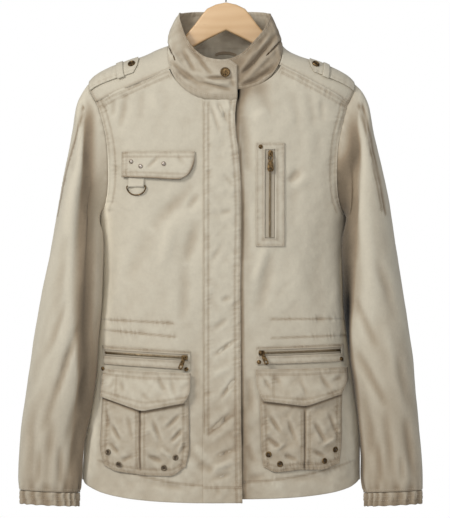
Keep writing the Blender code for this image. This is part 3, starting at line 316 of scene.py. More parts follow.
# %% [markdown]
# The sewn lines of the fronts, as they run in x and drop. A double row is two lines 7.5 mm apart, as
# a twin needle sews them. The folds come next: the long soft ones from chest to waist, the sharp ones
# under the shoulder seam, the fan under the throat and the crumpled cloth round the pockets.

# %% Where the fronts are sewn and folded
PLACKET_EDGE = ((213, 16.5), (238, 14), (262, 14.5), (293, 18.5), (525, 22), (708, 23), (840, 25))
PLACKET_LEFT = -35.5
PLACKET_RIGHT_AT = curve_through(*zip(*PLACKET_EDGE))
TWIN = 7.5

CHEST_WELT = ((46, 283.5), (90, 283.5), (90, 442.5), (46, 442.5))
CHEST_WINDOW = ((60.2, 293.5), (75.5, 293.5), (74.5, 430), (59.4, 430))
POCKET_WELT = {-1: ((-191, 595), (-55, 603), (-55, 632), (-189, 624)),
               1: ((47, 597), (180, 592.5), (181, 620), (47, 624))}
POCKET_WINDOW = {-1: ((-188, 601.2), (-58, 608.2), (-58, 618.2), (-188, 611.2)),
                 1: ((50, 601.2), (177, 597.5), (177, 607.5), (50, 611.2))}
Outline = namedtuple("Outline", "top left right bottom")
CHEST_FLAP = Outline(
    top=((0, 296.5), (1, 296)), left=((0, -160), (1, -159)),
    right=((0, -48), (0.3, -48), (0.6, -51), (0.85, -58), (1, -71)),
    bottom=((0, 335.6), (0.4, 336.7), (0.8, 339.3), (1, 340)))
POCKET_FLAP = {
    -1: Outline(top=((0, 631), (1, 637)), left=((0, -188), (1, -190)),
                right=((0, -53.5), (0.6, -54.5), (0.85, -59), (1, -65)),
                bottom=((0, 674), (0.5, 696), (1, 683))),
    1: Outline(top=((0, 631), (1, 629)), left=((0, 45), (0.5, 46), (0.8, 51), (1, 58)),
               right=((0, 184), (0.45, 185), (1, 173)),
               bottom=((0, 680), (0.55, 688), (1, 670)))}
POCKET = {
    -1: Outline(top=((0, 644), (1, 650)), left=((0, -189), (0.8, -193), (1, -186)),
                right=((0, -57), (0.8, -56), (1, -62)),
                bottom=((0, 778), (0.12, 788), (0.5, 794), (0.85, 795), (1, 779))),
    1: Outline(top=((0, 642), (1, 640)), left=((0, 50), (0.8, 54), (1, 57)),
               right=((0, 178), (0.8, 176), (1, 173)),
               bottom=((0, 780), (0.15, 789.5), (0.5, 785), (0.8, 786), (1, 776)))}
POCKET_SWELL, PLEAT_X, PLEAT_DEPTH, PLEAT_WIDTH = 4.5, {-1: -131, 1: 120}, 2.2, 4.5
PLEAT_SHOWS = (690, 700)       # over these drops the pleat comes out from under the flap

# %% [markdown]
# Each row of stitches is a line with four values: how high its puckers are, how far apart they lie, how
# deep its groove is, and where it runs. Rows beside a seam are worked out from the seam itself, so that
# they stay at a presser foot's distance from it.

# %% Lines of stitches
def yoke_line(hand, front, inset=0.0):
    """The yoke's seam on the front or back as (x, drop), moved down by an inset."""
    x = hand * neck_half(hand) * (NECK_CORNER if front else BACK_CORNER)
    drop = float(neckline(x, hand if front else 0))
    arm = float(armhole_x(SEAM_DROP, hand, front))
    return [(x + (arm - x) * t, drop + (SEAM_DROP - drop) * t + inset) for t in np.linspace(0, 1, 7)]


def armhole_line(hand, front, inset):
    """A line beside the armhole, an inset inside it."""
    return [(float(armhole_x(d, hand, front)) - hand * inset, float(d))
            for d in np.linspace(SEAM_DROP - 8, ARMPIT_DROP - 6, 12)]


def hem_line(hand, inset):
    """A line along a front's hem, an inset above it."""
    middle, rise = HEM[hand]
    xs = np.linspace(hand * 28, hand * 196, 10)
    return [(float(x), float(middle - rise * (abs(x) / HEM_HALF) ** HEM_POWER) - inset) for x in xs]


FRONT_SEAMS = {hand: [
    Seam(yoke_line(hand, True, 2.5), 0.45, 8.5, 0.35),
    Seam(yoke_line(hand, True, 2.5 + TWIN), 0.45, 9.5, 0.35),
    Seam(armhole_line(hand, True, 2.5), 0.45, 9, 0.3),
    Seam(armhole_line(hand, True, 2.5 + TWIN), 0.5, 10, 0.35),
    Seam(hem_line(hand, 26), 0.6, 12, 0.4)] for hand in HANDS}
FRONT_SEAMS[-1] += [
    Seam([(-193, 554.8), (-81, 560.2)], 0.7, 9, 0.5), Seam([(-195, 570.3), (-80, 581)], 0.7, 9, 0.5)]
FRONT_SEAMS[1] += [
    Seam([(70.5, 553.9), (181.4, 553.9)], 0.7, 9, 0.5), Seam([(70.5, 583), (184, 579.5)], 0.7, 9, 0.5)]
BACK_SEAMS = [Seam(yoke_line(hand, False, 3 + gap), 0.4, 9, 0.35) for hand in HANDS for gap in (0, TWIN)]
BACK_SEAMS += [Seam(armhole_line(hand, False, 2.5), 0.45, 9, 0.3) for hand in HANDS]
BACK_HEM_ROW = [(float(x), 786 - 9 * (abs(x) / HEM_HALF) ** HEM_POWER) for x in np.linspace(-200, 200, 15)]
BACK_SEAMS += [Seam(BACK_HEM_ROW, 0.6, 12, 0.4),
               Seam([(-150, 556), (150, 556)], 0.7, 9, 0.5), Seam([(-150, 583), (150, 583)], 0.7, 9, 0.5)]

# %% [markdown]
# The fronts' folds are read off the picture. Those of the back don't show there: they are the ones that
# such a jacket has when it hangs, a few long ones that fan out below the yoke and below the waist.

# %% Folds of the fronts and the back
FRONT_FOLDS = fold_table(
    # under the shoulder seams and beside the armholes
    (-155, 206, -163, 262, 1.6, 8), (-174, 217, -175, 243, 1.1, 6), (-128, 200, -134, 250, 0.8, 9),
    (-112, 205, -104, 245, -1.0, 12), (-168, 262, -172, 360, 1.2, 12), (103, 200, 112, 262, 0.8, 10),
    (128, 205, 138, 262, 0.9, 9), (146, 214, 150, 255, 0.8, 7), (58, 190, 66, 244, 1.0, 12),
    (176, 262, 168, 350, 1.2, 12),
    # from the flap down to the waist
    (-48, 346, -118, 415, 1.9, 15), (-118, 415, -150, 500, 2.0, 17), (-84, 400, -100, 478, -1.8, 13),
    (-44, 398, -62, 470, 2.2, 12), (-62, 470, -66, 560, 1.6, 11), (-122, 330, -152, 388, -1.2, 14),
    (-42, 360, -58, 386, 1.6, 7), (-160, 440, -172, 540, -1.0, 13),
    # beside the placket and round the chest zip
    (27, 240, 34, 330, 2.4, 11), (40, 250, 66, 232, -1.4, 10), (28, 350, 30, 470, 1.8, 9),
    (72, 448, 50, 548, 1.6, 11), (60, 440, 44, 500, -1.4, 9), (115, 328, 96, 344, 1.6, 8),
    (100, 352, 128, 330, -1.2, 10), (104, 450, 120, 540, -0.8, 18), (150, 400, 140, 540, 0.8, 16),
    (108, 300, 100, 420, 1.0, 12), (130, 262, 124, 320, -1.0, 12),
    # waist to hem
    (-48, 600, -44, 680, 1.4, 8), (34, 640, 40, 700, 1.6, 7), (-42, 772, -20, 790, 1.8, 9),
    (-48, 745, -30, 770, -1.4, 8), (32, 745, 44, 776, 1.5, 7), (30, 800, 60, 792, 1.2, 7),
    (-196, 640, -199, 740, 1.4, 9), (186, 650, 192, 740, 1.4, 9), (-120, 806, -60, 812, 1.2, 6),
    (90, 800, 150, 796, 1.2, 6), (-205, 700, -202, 790, -1.2, 8),
)
BACK_FOLDS = fold_table(
    (-150, 215, -128, 330, 2.2, 14), (145, 215, 124, 330, 2.0, 14), (-60, 230, -84, 420, 1.8, 22),
    (66, 240, 84, 430, 1.8, 22), (0, 220, 4, 420, 1.4, 26), (-120, 430, -150, 548, 2.0, 17),
    (118, 440, 148, 548, 2.0, 17), (-36, 460, -20, 550, 1.6, 15), (40, 470, 52, 552, 1.5, 14),
    (-100, 600, -120, 760, 2.2, 18), (-20, 600, -8, 760, 2.0, 20), (84, 600, 104, 760, 2.2, 18),
    (150, 620, 164, 770, 1.6, 14), (-165, 620, -180, 770, 1.6, 14), (-60, 640, -64, 780, -1.6, 14),
    (44, 640, 50, 780, -1.6, 14))

# %% [markdown]
# Folds, puckers and crumple add up to one height over the surface. The tone goes with it: painted shade where
# the cloth lies under something, and painted light on the puckers and down the sides, where the body turns
# away.

# %% Relief and tone of the panels
EDGE_FADE = 7          # relief dies out this far from a panel's outer edge, so that the seams still meet


def edge_fade(x, drop, front):
    """0 at the armhole and side seam, 1 away from them."""
    hand = np.where(x < 0, -1, 1)
    inside = np.abs(armhole_x(drop, -1, front) * (hand < 0) + armhole_x(drop, 1, front) * (hand > 0) - x)
    steep = np.abs(angle_of(x, drop))
    return ease(inside, 0, EDGE_FADE) * (1 - ease(steep, 72, 88)) * 0.999 + 0.001


LOW_FRONT = (620, 730)         # over these drops the painted shade on the lower front comes in
UNDER_THROAT = (220, 290)      # and over these the shade under the collar fades


def centre_tone(x, drop):
    """Painted shade: the cloth is darker low down beside the placket."""
    return -0.9 * ease(drop, *LOW_FRONT) * (1 - 0.7 * ease(drop, 745, 790)) * bell(x - 5, 48)


SIDE_LIGHT = {-1: ((290, -193), (525, -191), (618, -198), (680, -206), (742, -215), (800, -220)),
              1: ((290, 176), (525, 176), (618, 184), (680, 193), (742, 202), (800, 206))}


def front_tone(x, drop):
    """Painted shade beside the placket's loose edge and under the collar, and painted light down both sides,
    where the body turns away.
    """
    beside = x - PLACKET_RIGHT_AT(np.clip(drop, 213, 840))
    low, high = ease(drop, *LOW_FRONT), 1 - ease(drop, *UNDER_THROAT)
    shade = (3.0 + 1.0 * ease(drop, 480, 540)) * bell(beside - 1.8, 2.4)
    shade = shade + (0.3 + 2.2 * high + 0.9 * low) * bell(beside - 6, 9)
    shade = shade + 2.2 * np.exp(-((x - 36) / 30) ** 2 - ((drop - 198) / 17) ** 2)
    shade = shade - centre_tone(x, drop)
    shade = shade + 2.5 * (1 - ease(drop, 245, 275)) * bell(beside - 1, 3.4)
    edge_r, edge_l = (np.interp(drop, *zip(*SIDE_LIGHT[hand])) for hand in HANDS)
    lit = 3.8 * bell(x - edge_r - 3, 9) * ease(drop, 290, 320)
    lit = lit + 2.2 * bell(x - edge_l + 6, 9) * ease(drop, 400, 520)
    return lit * (1 - ease(drop, 770, 820)) - shade


CRUMPLES = (
    # leaning by, squashed to, size, seed, height, more of it low down
    (0.0, 0.6, 62, 0, 2.2, 1.0),
    (0.3, 0.7, 26, 3, 1.1, 0.7),
    (0.0, 1.0, 10, 5, 0.42, 0.34),
)


def relief(x, drop, front=True):
    """How far the cloth stands off the master surface, and how pale it is, for arrays of places."""
    x, drop = np.asarray(x, float), np.asarray(drop, float)
    if front:
        folds = fold_height(x, drop, FRONT_FOLDS)
        height, pale = seam_height(x, drop, FRONT_SEAMS[-1] + FRONT_SEAMS[1], 1.5)
        pale = pale + front_tone(x, drop)
    else:
        folds = fold_height(x, drop, BACK_FOLDS)
        height, pale = seam_height(x, drop, BACK_SEAMS, 4.5)
    seed = 2.0 if front else 6.0
    lower = ease(drop, 600, 760)
    soft = sum(crumple(x + drop * lean, drop * squash, size, seed + own) * (tall + more * lower)
               for lean, squash, size, own, tall, more in CRUMPLES)
    steep = 1 - ease(np.abs(angle_of(x, drop)), 76, 89)
    return (folds + soft) * edge_fade(x, drop, front) + height * steep, pale


def on_body(x, drop, lift=0.0, front=True, rough=True):
    """Points over the body at x and drop, moved out by lift and by the relief there."""
    x, drop = np.broadcast_arrays(np.asarray(x, float), np.asarray(drop, float))
    angle = angle_of(x, drop)
    height = relief(x, drop, front)[0] if rough else 0 * x
    return body_point(angle, drop, front) + outward(angle, drop, front) * (lift + height)[..., None]


print(len(FRONT_FOLDS) + len(BACK_FOLDS), "folds and",
      sum(map(len, FRONT_SEAMS.values())) + len(BACK_SEAMS), "sewn lines on the panels")

# %% [markdown]
# ## From points to a piece of cloth
# A cut piece is a grid of points: rows from top to hem, columns across. The grid becomes faces, a UV map in
# metres so that the weave keeps its real scale, and a colour attribute for its tone, which holds painted
# light and shade. Solidify then gives it the two faces and the thickness that real cloth has.


# %% A shell from a grid of points
MADE = {}
SHORTEST_CUT = 0.01
# The palest tone that painted light on a ridge may give.
RIDGE_LIGHT_CAP = 0.8
HOLLOW_SHADE = 0.34      # painted shade: how much darker the cloth is for each mm that it lies in a hollow, and the painted light for each mm that it stands proud


def lengths(points):
    """How far along each column and each row lies, in metres, along the middle of the grid."""
    middle_row, middle_column = points[len(points) // 2], points[:, points.shape[1] // 2]
    across = np.r_[0, np.cumsum(np.linalg.norm(np.diff(middle_row, axis=0), axis=1))] * MM
    down = np.r_[0, np.cumsum(np.linalg.norm(np.diff(middle_column, axis=0), axis=1))] * MM
    return across, down


def mesh_from_grid(name, points, closed, inside, pale):
    """A mesh from a grid: its faces look away from inside, and it carries the UV map and the tone."""
    rows, columns = points.shape[:2]
    mesh = bpy.data.meshes.new(name)
    index = np.arange(rows * columns).reshape(rows, columns)
    right = np.roll(index, -1, axis=1)
    if not closed:
        index, right = index[:, :-1], right[:, :-1]
    faces = np.stack((index[:-1], right[:-1], right[1:], index[1:]), -1).reshape(-1, 4)
    a, b, c = (points.reshape(-1, 3)[faces[:, i]] for i in (0, 1, 2))
    normal = np.cross(b - a, c - a)
    if (normal * ((a + c) / 2 - np.array(inside))).sum() < 0:
        faces = faces[:, ::-1]
    mesh.from_pydata((points.reshape(-1, 3) * MM).tolist(), [], faces.tolist())
    across, down = lengths(points)
    if closed:
        middle = points[len(points) // 2]
        ring = across[-1] + float(np.linalg.norm(middle[-1] - middle[0])) * MM
    column = (faces % columns).astype(float)
    wrap = closed & ((column.max(1) - column.min(1)) > 1.5)
    u = across[(faces % columns)]
    if closed:
        u = np.where(wrap[:, None] & (faces % columns == 0), ring, u)
    uv = np.stack((u, -down[faces // columns]), -1)
    mesh.uv_layers.new(name="Cloth").data.foreach_set("uv", uv.ravel())
    tone = mesh.attributes.new("pale", "FLOAT", "POINT")
    tone.data.foreach_set("value", np.ravel(np.broadcast_to(pale, (rows, columns))).astype(np.float32))
    mesh.shade_smooth()
    return mesh

# %% [markdown]
# Every piece rides on its body, and the solid that it stands for is hidden.

# %% Pieces in the scene
def show(name, mesh, material, replaces=(), body="jacket"):
    """Put a finished mesh in the scene, riding on its body."""
    item = bpy.data.objects.new(name, mesh)
    bpy.context.scene.collection.objects.link(item)
    mesh.materials.append(material)
    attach(item, body)
    if replaces:
        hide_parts(*replaces)
    MADE[name] = item
    return item


def grid_normals(points, closed, inside):
    """Outward directions at every point of a grid."""
    if closed:
        across = np.roll(points, -1, axis=1) - np.roll(points, 1, axis=1)
    else:
        across = np.gradient(points, axis=1)
    normal = unit(np.cross(across, np.gradient(points, axis=0)))
    sign = np.sign((normal * (points - np.array(inside))).sum())
    return normal * sign


def hollows(points, plain, closed, inside):
    """How far each place lies below the cloth around it, in mm, over reaches of 2, 4 and 7 grid steps."""
    height = ((points - plain) * grid_normals(plain, closed, inside)).sum(-1)
    result = np.zeros_like(height)
    for reach, weight in ((2, 0.5), (4, 0.6), (7, 0.5)):
        around = np.pad(height, ((reach, reach), (0, 0)), mode="edge")
        around = np.pad(around, ((0, 0), (reach, reach)), mode="wrap" if closed else "edge")
        rows, columns = height.shape
        total = sum(around[reach + a:reach + a + rows, reach + b:reach + b + columns]
                    for a, b in ((-reach, 0), (reach, 0), (0, -reach), (0, reach)))
        result += weight * (total / 4 - height)
    return result

# %% [markdown]
# A cloth piece's size is measured on its grid without the fine creases, as a cutter measures flat cloth.
# Painted shade darkens the tone where a place lies lower than the cloth round it, and painted light pales it
# where it stands higher.

# %% Cloth as cut pieces
def cloth(name, points, inside, pale=0.0, wall=WALL, closed=False, plain=None, node=None, material=None):
    """A cut piece: a thin closed shell through a grid of points. It also measures the size it was cut to."""
    if plain is not None:
        # Painted shade in the hollows and painted light on the ridges, held to a cap.
        toned = pale - HOLLOW_SHADE * np.clip(hollows(points, plain, closed, inside), -1.6, 3)
        pale = np.minimum(toned, np.maximum(pale, RIDGE_LIGHT_CAP))
    mesh = mesh_from_grid(name, points, closed, inside, pale)
    material = material or COTTON
    item = show(name, mesh, material, replaces=(node or name,))
    wall_of = item.modifiers.new("Wall", "SOLIDIFY")
    wall_of.thickness = wall * MM
    wall_of.offset = -1
    wall_of.use_quality_normals = True
    plain = points if plain is None else plain
    if closed:
        plain = np.concatenate((plain, plain[:, :1]), axis=1)
    wide = max(float(np.linalg.norm(np.diff(row, axis=0), axis=1).sum()) for row in plain[::8]) * MM
    long = max(float(np.linalg.norm(np.diff(plain[:, c], axis=0), axis=1).sum())
               for c in range(0, plain.shape[1], max(1, plain.shape[1] // 9))) * MM
    wide, long = max(wide, SHORTEST_CUT), max(long, SHORTEST_CUT)
    return item


# %% [markdown]
# ## The cloth's finish
# The jacket is plain-woven cotton that was dyed in the piece, sewn, and then washed. So its colour is a stone
# beige that drifts a little from place to place. Painted shade makes it darker in creases, and painted light
# makes it paler on every pucker. The weave is half a millimetre: too fine to see as threads from a step away,
# but it is what makes the cloth matt. It is drawn on the UV map, which is in metres.


# %% Small tools for node trees
def new_group(name, inputs, outputs):
    """An empty node group with named sockets: (name, kind, default) and (name, kind)."""
    tree = bpy.data.node_groups.new(name, "ShaderNodeTree")
    for label, kind, default in inputs:
        tree.interface.new_socket(label, in_out="INPUT", socket_type=kind).default_value = default
    for label, kind in outputs:
        tree.interface.new_socket(label, in_out="OUTPUT", socket_type=kind)
    return tree, tree.nodes.new("NodeGroupInput"), tree.nodes.new("NodeGroupOutput")


def add_node(tree, kind, values=(), **settings):
    """A node with its settings, and the values of some sockets."""
    node = tree.nodes.new(kind)
    for key, value in settings.items():
        setattr(node, key, value)
    for socket, value in dict(values).items():
        node.inputs[socket].default_value = value
    return node


def feed(tree, socket, value):
    """Give a socket a link or a plain value."""
    if isinstance(value, bpy.types.NodeSocket):
        tree.links.new(value, socket)
    elif value is not None:
        socket.default_value = value


def maths(tree, operation, *values, clamp=False):
    """A Math node on sockets or numbers; gives its output."""
    node = add_node(tree, "ShaderNodeMath", operation=operation, use_clamp=clamp)
    for socket, value in zip(node.inputs, values):
        feed(tree, socket, value)
    return node.outputs[0]


def noise_at(tree, vector, scale, detail=2.0, roughness=0.5):
    """Noise over a vector; gives its output."""
    node = add_node(tree, "ShaderNodeTexNoise", {"Detail": detail, "Roughness": roughness})
    feed(tree, node.inputs["Scale"], scale)
    tree.links.new(vector, node.inputs["Vector"])
    return node.outputs["Fac"]


def blend_colours(tree, factor, first, second, mode="MIX"):
    """Two colours mixed by a factor; gives its output."""
    node = add_node(tree, "ShaderNodeMix", data_type="RGBA", blend_type=mode)
    for socket, value in zip((node.inputs[0], node.inputs[6], node.inputs[7]), (factor, first, second)):
        feed(tree, socket, value)
    return node.outputs[2]


def new_material(name, settings):
    """A finish to build on: the material, its tree and its shader, with some of the shader's values set."""
    material = bpy.data.materials.new(name)
    material.use_nodes = True
    shader = material.node_tree.nodes["Principled BSDF"]
    for socket, value in settings.items():
        shader.inputs[socket].default_value = value
    return material, material.node_tree, shader


def add_bump(tree, shader, height, strength, distance):
    """Relief in a finish, from a height that its tree works out."""
    bump = add_node(tree, "ShaderNodeBump", {"Strength": strength, "Distance": distance})
    tree.links.new(height, bump.inputs["Height"])
    tree.links.new(bump.outputs[0], shader.inputs["Normal"])


# %% [markdown]
# The weave is two crossed sine waves at the thread's pitch. Wide and fine noise make the colour drift. The
# tone that each mesh carries is painted light and shade: it pales the colour on the puckers and darkens it in
# the hollows, and the shade is tinted brown. Painted shade also makes the cloth darker towards the bottom.
# One group serves the jacket's cloth, the zips' tape and the thread.

# %% The washed cotton as a node group
def woven_group():
    """The washed cotton's colour with painted light and shade on it, its roughness and height."""
    tree, given, result = new_group(
        "Washed cotton", (("Colour", "NodeSocketColor", (0.6, 0.54, 0.45, 1)),
                          ("Thread pitch", "NodeSocketFloat", 0.55), ("Mottling", "NodeSocketFloat", 0.09)),
        (("Colour", "NodeSocketColor"), ("Roughness", "NodeSocketFloat"), ("Height", "NodeSocketFloat")))
    uv = add_node(tree, "ShaderNodeUVMap", uv_map="Cloth").outputs[0]
    place = add_node(tree, "ShaderNodeTexCoord").outputs["Object"]
    pale = add_node(tree, "ShaderNodeAttribute", attribute_name="pale").outputs["Fac"]
    split = add_node(tree, "ShaderNodeSeparateXYZ")
    tree.links.new(uv, split.inputs[0])
    turns = maths(tree, "DIVIDE", 2000 * math.pi, given.outputs["Thread pitch"])
    warp = maths(tree, "SINE", maths(tree, "MULTIPLY", split.outputs[0], turns))
    weft = maths(tree, "SINE", maths(tree, "MULTIPLY", split.outputs[1], turns))
    over = maths(tree, "MULTIPLY", warp, weft)
    slub = noise_at(tree, place, 900.0, 1.0)
    weave = maths(tree, "ADD", maths(tree, "MULTIPLY", over, 0.5), maths(tree, "MULTIPLY", slub, 0.9))
    creases = maths(tree, "MULTIPLY", noise_at(tree, place, 48.0, 5.0, 0.66), 15.0)
    wide = maths(tree, "SUBTRACT", noise_at(tree, place, 9.0, 3.0, 0.55), 0.5)
    fine = maths(tree, "SUBTRACT", noise_at(tree, place, 240.0, 4.0, 0.75), 0.5)
    drift = maths(tree, "MULTIPLY", maths(tree, "ADD", wide, maths(tree, "MULTIPLY", fine, 1.9)),
                  given.outputs["Mottling"])
    height_of = add_node(tree, "ShaderNodeSeparateXYZ")
    tree.links.new(place, height_of.inputs[0])
    # Painted shade: the cloth is darker towards the bottom.
    low = maths(tree, "MULTIPLY_ADD", height_of.outputs[2], -2.6, -1.2, clamp=True)
    pale = maths(tree, "MULTIPLY_ADD", low, -0.75, pale)
    # The tone attribute pales and darkens the colour: painted light and shade.
    rubbed_and_lit = maths(tree, "MULTIPLY", maths(tree, "MINIMUM", pale, 2.6), 0.14)
    threads = maths(tree, "MULTIPLY", over, 0.02)
    value = maths(tree, "ADD", maths(tree, "ADD", 1.0, drift), maths(tree, "ADD", rubbed_and_lit, threads))
    hsv = add_node(tree, "ShaderNodeHueSaturation")
    tree.links.new(given.outputs["Colour"], hsv.inputs["Color"])
    tree.links.new(value, hsv.inputs["Value"])
    # Painted shade is tinted brown.
    deep = maths(tree, "MULTIPLY", pale, -0.38, clamp=True)
    warm = blend_colours(tree, deep, hsv.outputs[0], (0.84, 0.72, 0.62, 1), mode="MULTIPLY")
    tree.links.new(warm, result.inputs["Colour"])
    tree.links.new(maths(tree, "ADD", 0.86, maths(tree, "MULTIPLY", slub, 0.1)), result.inputs["Roughness"])
    tree.links.new(maths(tree, "ADD", weave, creases), result.inputs["Height"])
    return tree


WOVEN = woven_group()
MATT = {"Sheen Weight": 0.12, "Sheen Roughness": 0.5, "Specular IOR Level": 0.12}


def cotton(name, colour, pitch=0.55, mottling=0.09, depth=0.00012):
    """A cloth finish: the woven group on a matt shader with a trace of fuzz."""
    material, tree, shader = new_material(name, MATT)
    values = {"Colour": (*colour, 1), "Thread pitch": pitch, "Mottling": mottling}
    group = add_node(tree, "ShaderNodeGroup", values, node_tree=WOVEN)
    tree.links.new(group.outputs["Colour"], shader.inputs["Base Color"])
    tree.links.new(group.outputs["Roughness"], shader.inputs["Roughness"])
    add_bump(tree, shader, group.outputs["Height"], 0.55, depth)
    material.diffuse_color = (*colour, 1)
    return material


STONE = (0.585, 0.532, 0.425)
COTTON = cotton("stone cotton", STONE)
TAPE = cotton("zip tape", (0.43, 0.375, 0.29), pitch=0.8, mottling=0.1)
print("cloth finishes:", COTTON.name, "and", TAPE.name)

# %% [markdown]
# ## The fronts and the back
# Each front is one panel from the neckline and the shoulder seam down to the hem. Its columns start
# along that top edge and end along the hem. They crowd together towards the side, where the body turns
# away, so that the curve there stays smooth. The back is two such halves in one cloth.


# %% Body panels
PANEL_COLUMNS, PANEL_ROWS = 100, 300
BACK_COLUMNS, BACK_ROWS = 66, 190        # of each half


def panel_places(hand, front, columns, rows):
    """Places (x, drop) of a panel's grid, from its middle edge out to the armhole and side seam."""
    inner = hand * FRONT_EDGE if front else 0.0
    side = float(edge_angle(ARMPIT_DROP, hand, front))
    side_x = float(body_point(side, ARMPIT_DROP, front)[0])
    arm_x = float(armhole_x(SEAM_DROP, hand, front))
    share = np.linspace(0, 1, columns)
    start = angle_of(inner, ARMPIT_DROP)
    part = (body_point(start + (side - start) * share, ARMPIT_DROP, front)[..., 0] - inner) / (side_x - inner)
    part[0], part[-1] = 0, 1
    top_x = inner + part * (arm_x - inner)
    corner = hand * neck_half(hand) * (NECK_CORNER if front else BACK_CORNER)
    nearest = int(np.argmin(np.abs(top_x - corner)))
    top_x[nearest] = corner
    part[nearest] = (corner - inner) / (arm_x - inner)
    corner_drop = float(neckline(corner, hand if front else 0))
    along = np.clip((top_x - corner) / (arm_x - corner), 0, 1)
    top = np.where(hand * top_x <= hand * corner, neckline(top_x, hand if front else 0),
                   corner_drop + (SEAM_DROP - corner_drop) * along)
    middle, rise = HEM[hand if front else 0]
    foot = middle - rise * share ** HEM_POWER
    v = np.linspace(0, 1, rows)[:, None]
    drop = top + (foot - top) * v
    edge_x = armhole_x(drop, hand, front)
    at_side = body_point(np.full(drop.shape, side), drop, front)[..., 0]
    cut_away = at_side - edge_x
    straight = inner + (edge_x - inner) * part
    start = angle_of(np.full(drop.shape, inner), drop)
    spread = body_point(start + (side - start) * share, drop, front)[..., 0] - cut_away * part ** 3
    weight = ease(drop, SPREAD_FROM, ARMPIT_DROP)
    x = straight + (spread - straight) * weight
    x[:, -1] = edge_x[:, -1]
    return x, drop


def panel(x, drop, front):
    """The panel's points with their relief, without it, and how pale they are."""
    angle = angle_of(x, drop)
    for column in (0, -1):
        steep = np.abs(x[:, column]) > 100
        hand = np.sign(x[:, column])
        exact = edge_angle(drop[:, column], 1, front) * hand
        angle[:, column] = np.where(steep, exact, angle[:, column])
    plain = body_point(angle, drop, front)
    height, pale = relief(x, drop, front)
    return plain + outward(angle, drop, front) * height[..., None], plain, pale


for hand in HANDS:
    x, drop = panel_places(hand, True, PANEL_COLUMNS, PANEL_ROWS)
    points, plain, pale = panel(x, drop, True)
    cloth(f"front_{TAG[hand]}_cloth", points, (0, 0, -500), pale, plain=plain, node=f"front_{TAG[hand]}")

halves = [panel_places(hand, False, BACK_COLUMNS, BACK_ROWS) for hand in HANDS]
x = np.concatenate((halves[0][0][:, :0:-1], halves[1][0]), axis=1)
drop = np.concatenate((halves[0][1][:, :0:-1], halves[1][1]), axis=1)
points, plain, pale = panel(x, drop, False)
cloth("back_cloth", points, (0, 0, -500), pale, plain=plain, node="back")

# %% [markdown]
# ## The yokes
# The shoulder yokes lie over the hanger's arms. Their front seam is the twin row that crosses each
# chest. Where they cross the ridge, out is straight up, so the relief is turned that way there.


# %% Yokes over the shoulders
def ridge_drop(x, hand):
    """How low the shoulder's ridge is at an x."""
    drops = np.linspace(NECK_DROP, SHOULDER_DROP, 300)
    reach = np.abs(BODY_AT[side_of(hand)](drops))
    return np.interp(np.abs(x), reach, drops)


def yoke_place(hand, s, t):
    """Places on the shoulder: s runs neck to arm, t from the back seam (-1) over the ridge to the front."""
    s, t = np.broadcast_arrays(np.asarray(s, float), np.asarray(t, float))
    front = t >= 0
    half = neck_half(hand)
    corner = half * np.where(front, NECK_CORNER, BACK_CORNER)
    way = t * t
    neck_x = hand * (half + (corner - half) * way)
    neck_drop = np.where(front, neckline(neck_x, hand), neckline(neck_x, 0))
    arm_drop = SHOULDER_DROP + (SEAM_DROP - SHOULDER_DROP) * way
    shoulder_x = float(BODY_AT[side_of(hand)](SHOULDER_DROP))
    arm_x = np.where(way > 0, armhole_x(arm_drop, hand, front), shoulder_x)
    x = neck_x + (arm_x - neck_x) * s
    drop = neck_drop + (arm_drop - neck_drop) * s
    ridge = ridge_drop(hand * half + (shoulder_x - hand * half) * s, hand)
    bow = ridge - (NECK_DROP + (SHOULDER_DROP - NECK_DROP) * s)
    return x, drop + bow * (1 - way), front


def on_yoke(hand, s, t, lift=0.0):
    """Points over the shoulder, moved out by lift."""
    x, drop, front = yoke_place(hand, s, t)
    t = np.broadcast_to(np.asarray(t, float), x.shape)
    angle = np.where(np.abs(t) > 0, angle_of(x, drop), hand * 90.0)
    up = np.stack((np.full(x.shape, hand * RIDGE_OUT), -RIDGE_TURN * t, np.ones(x.shape)), -1)
    up = unit(up)
    out = outward(angle, drop, front)
    share = ease(np.abs(t), RIDGE_BAND * 0.6, RIDGE_BAND * 2.2)[..., None]
    way = unit(up * (1 - share) + out * share)
    return body_point(angle, drop, front) + way * np.broadcast_to(lift, x.shape)[..., None]


def yoke_relief(hand, s, t):
    """Relief on the yoke: its seams' puckers, and a soft unevenness."""
    x, drop, front = yoke_place(hand, s, t)
    lines = [Seam([(a, b) for a, b in yoke_line(hand, True, -2.5)], 0.4, 8.5, 0.3),
             Seam([(float(armhole_x(d, hand, True)) - hand * 2.5, float(d)) for d in (192, 200, 210, 222)],
                  0.4, 8, 0.3)]
    height, pale = seam_height(x, drop, lines, 2.5)
    soft = crumple(x, drop * 0.8 + 40 * (~front), 30, 11.0) * 0.9 + crumple(x, drop, 10, 12.0) * 0.15
    fade = ease(s, 0, 0.06) * ease(1 - s, 0, 0.06) * ease(1 - np.abs(t), 0, 0.06)
    return (height * front + soft) * fade, pale * front


YOKE_ROWS, YOKE_COLUMNS = 60, 61
YOKE_REACH = 0.99          # the yoke stops this close to its two seams
for hand in HANDS:
    s = np.linspace(0, 1, YOKE_ROWS)[:, None]
    t = np.linspace(-1, 1, YOKE_COLUMNS)
    t = np.sign(t) * np.abs(t) ** 0.8
    t = (t * YOKE_REACH)[None, :]
    s, t = np.broadcast_arrays(s, t)
    height, pale = yoke_relief(hand, s, t)
    middle = on_yoke(hand, 0.5, 0.0)
    cloth(f"yoke_{TAG[hand]}_cloth", on_yoke(hand, s, t, height), (middle[0] * 0.8, 0, middle[2] - 60), pale,
          node=f"yoke_{TAG[hand]}")

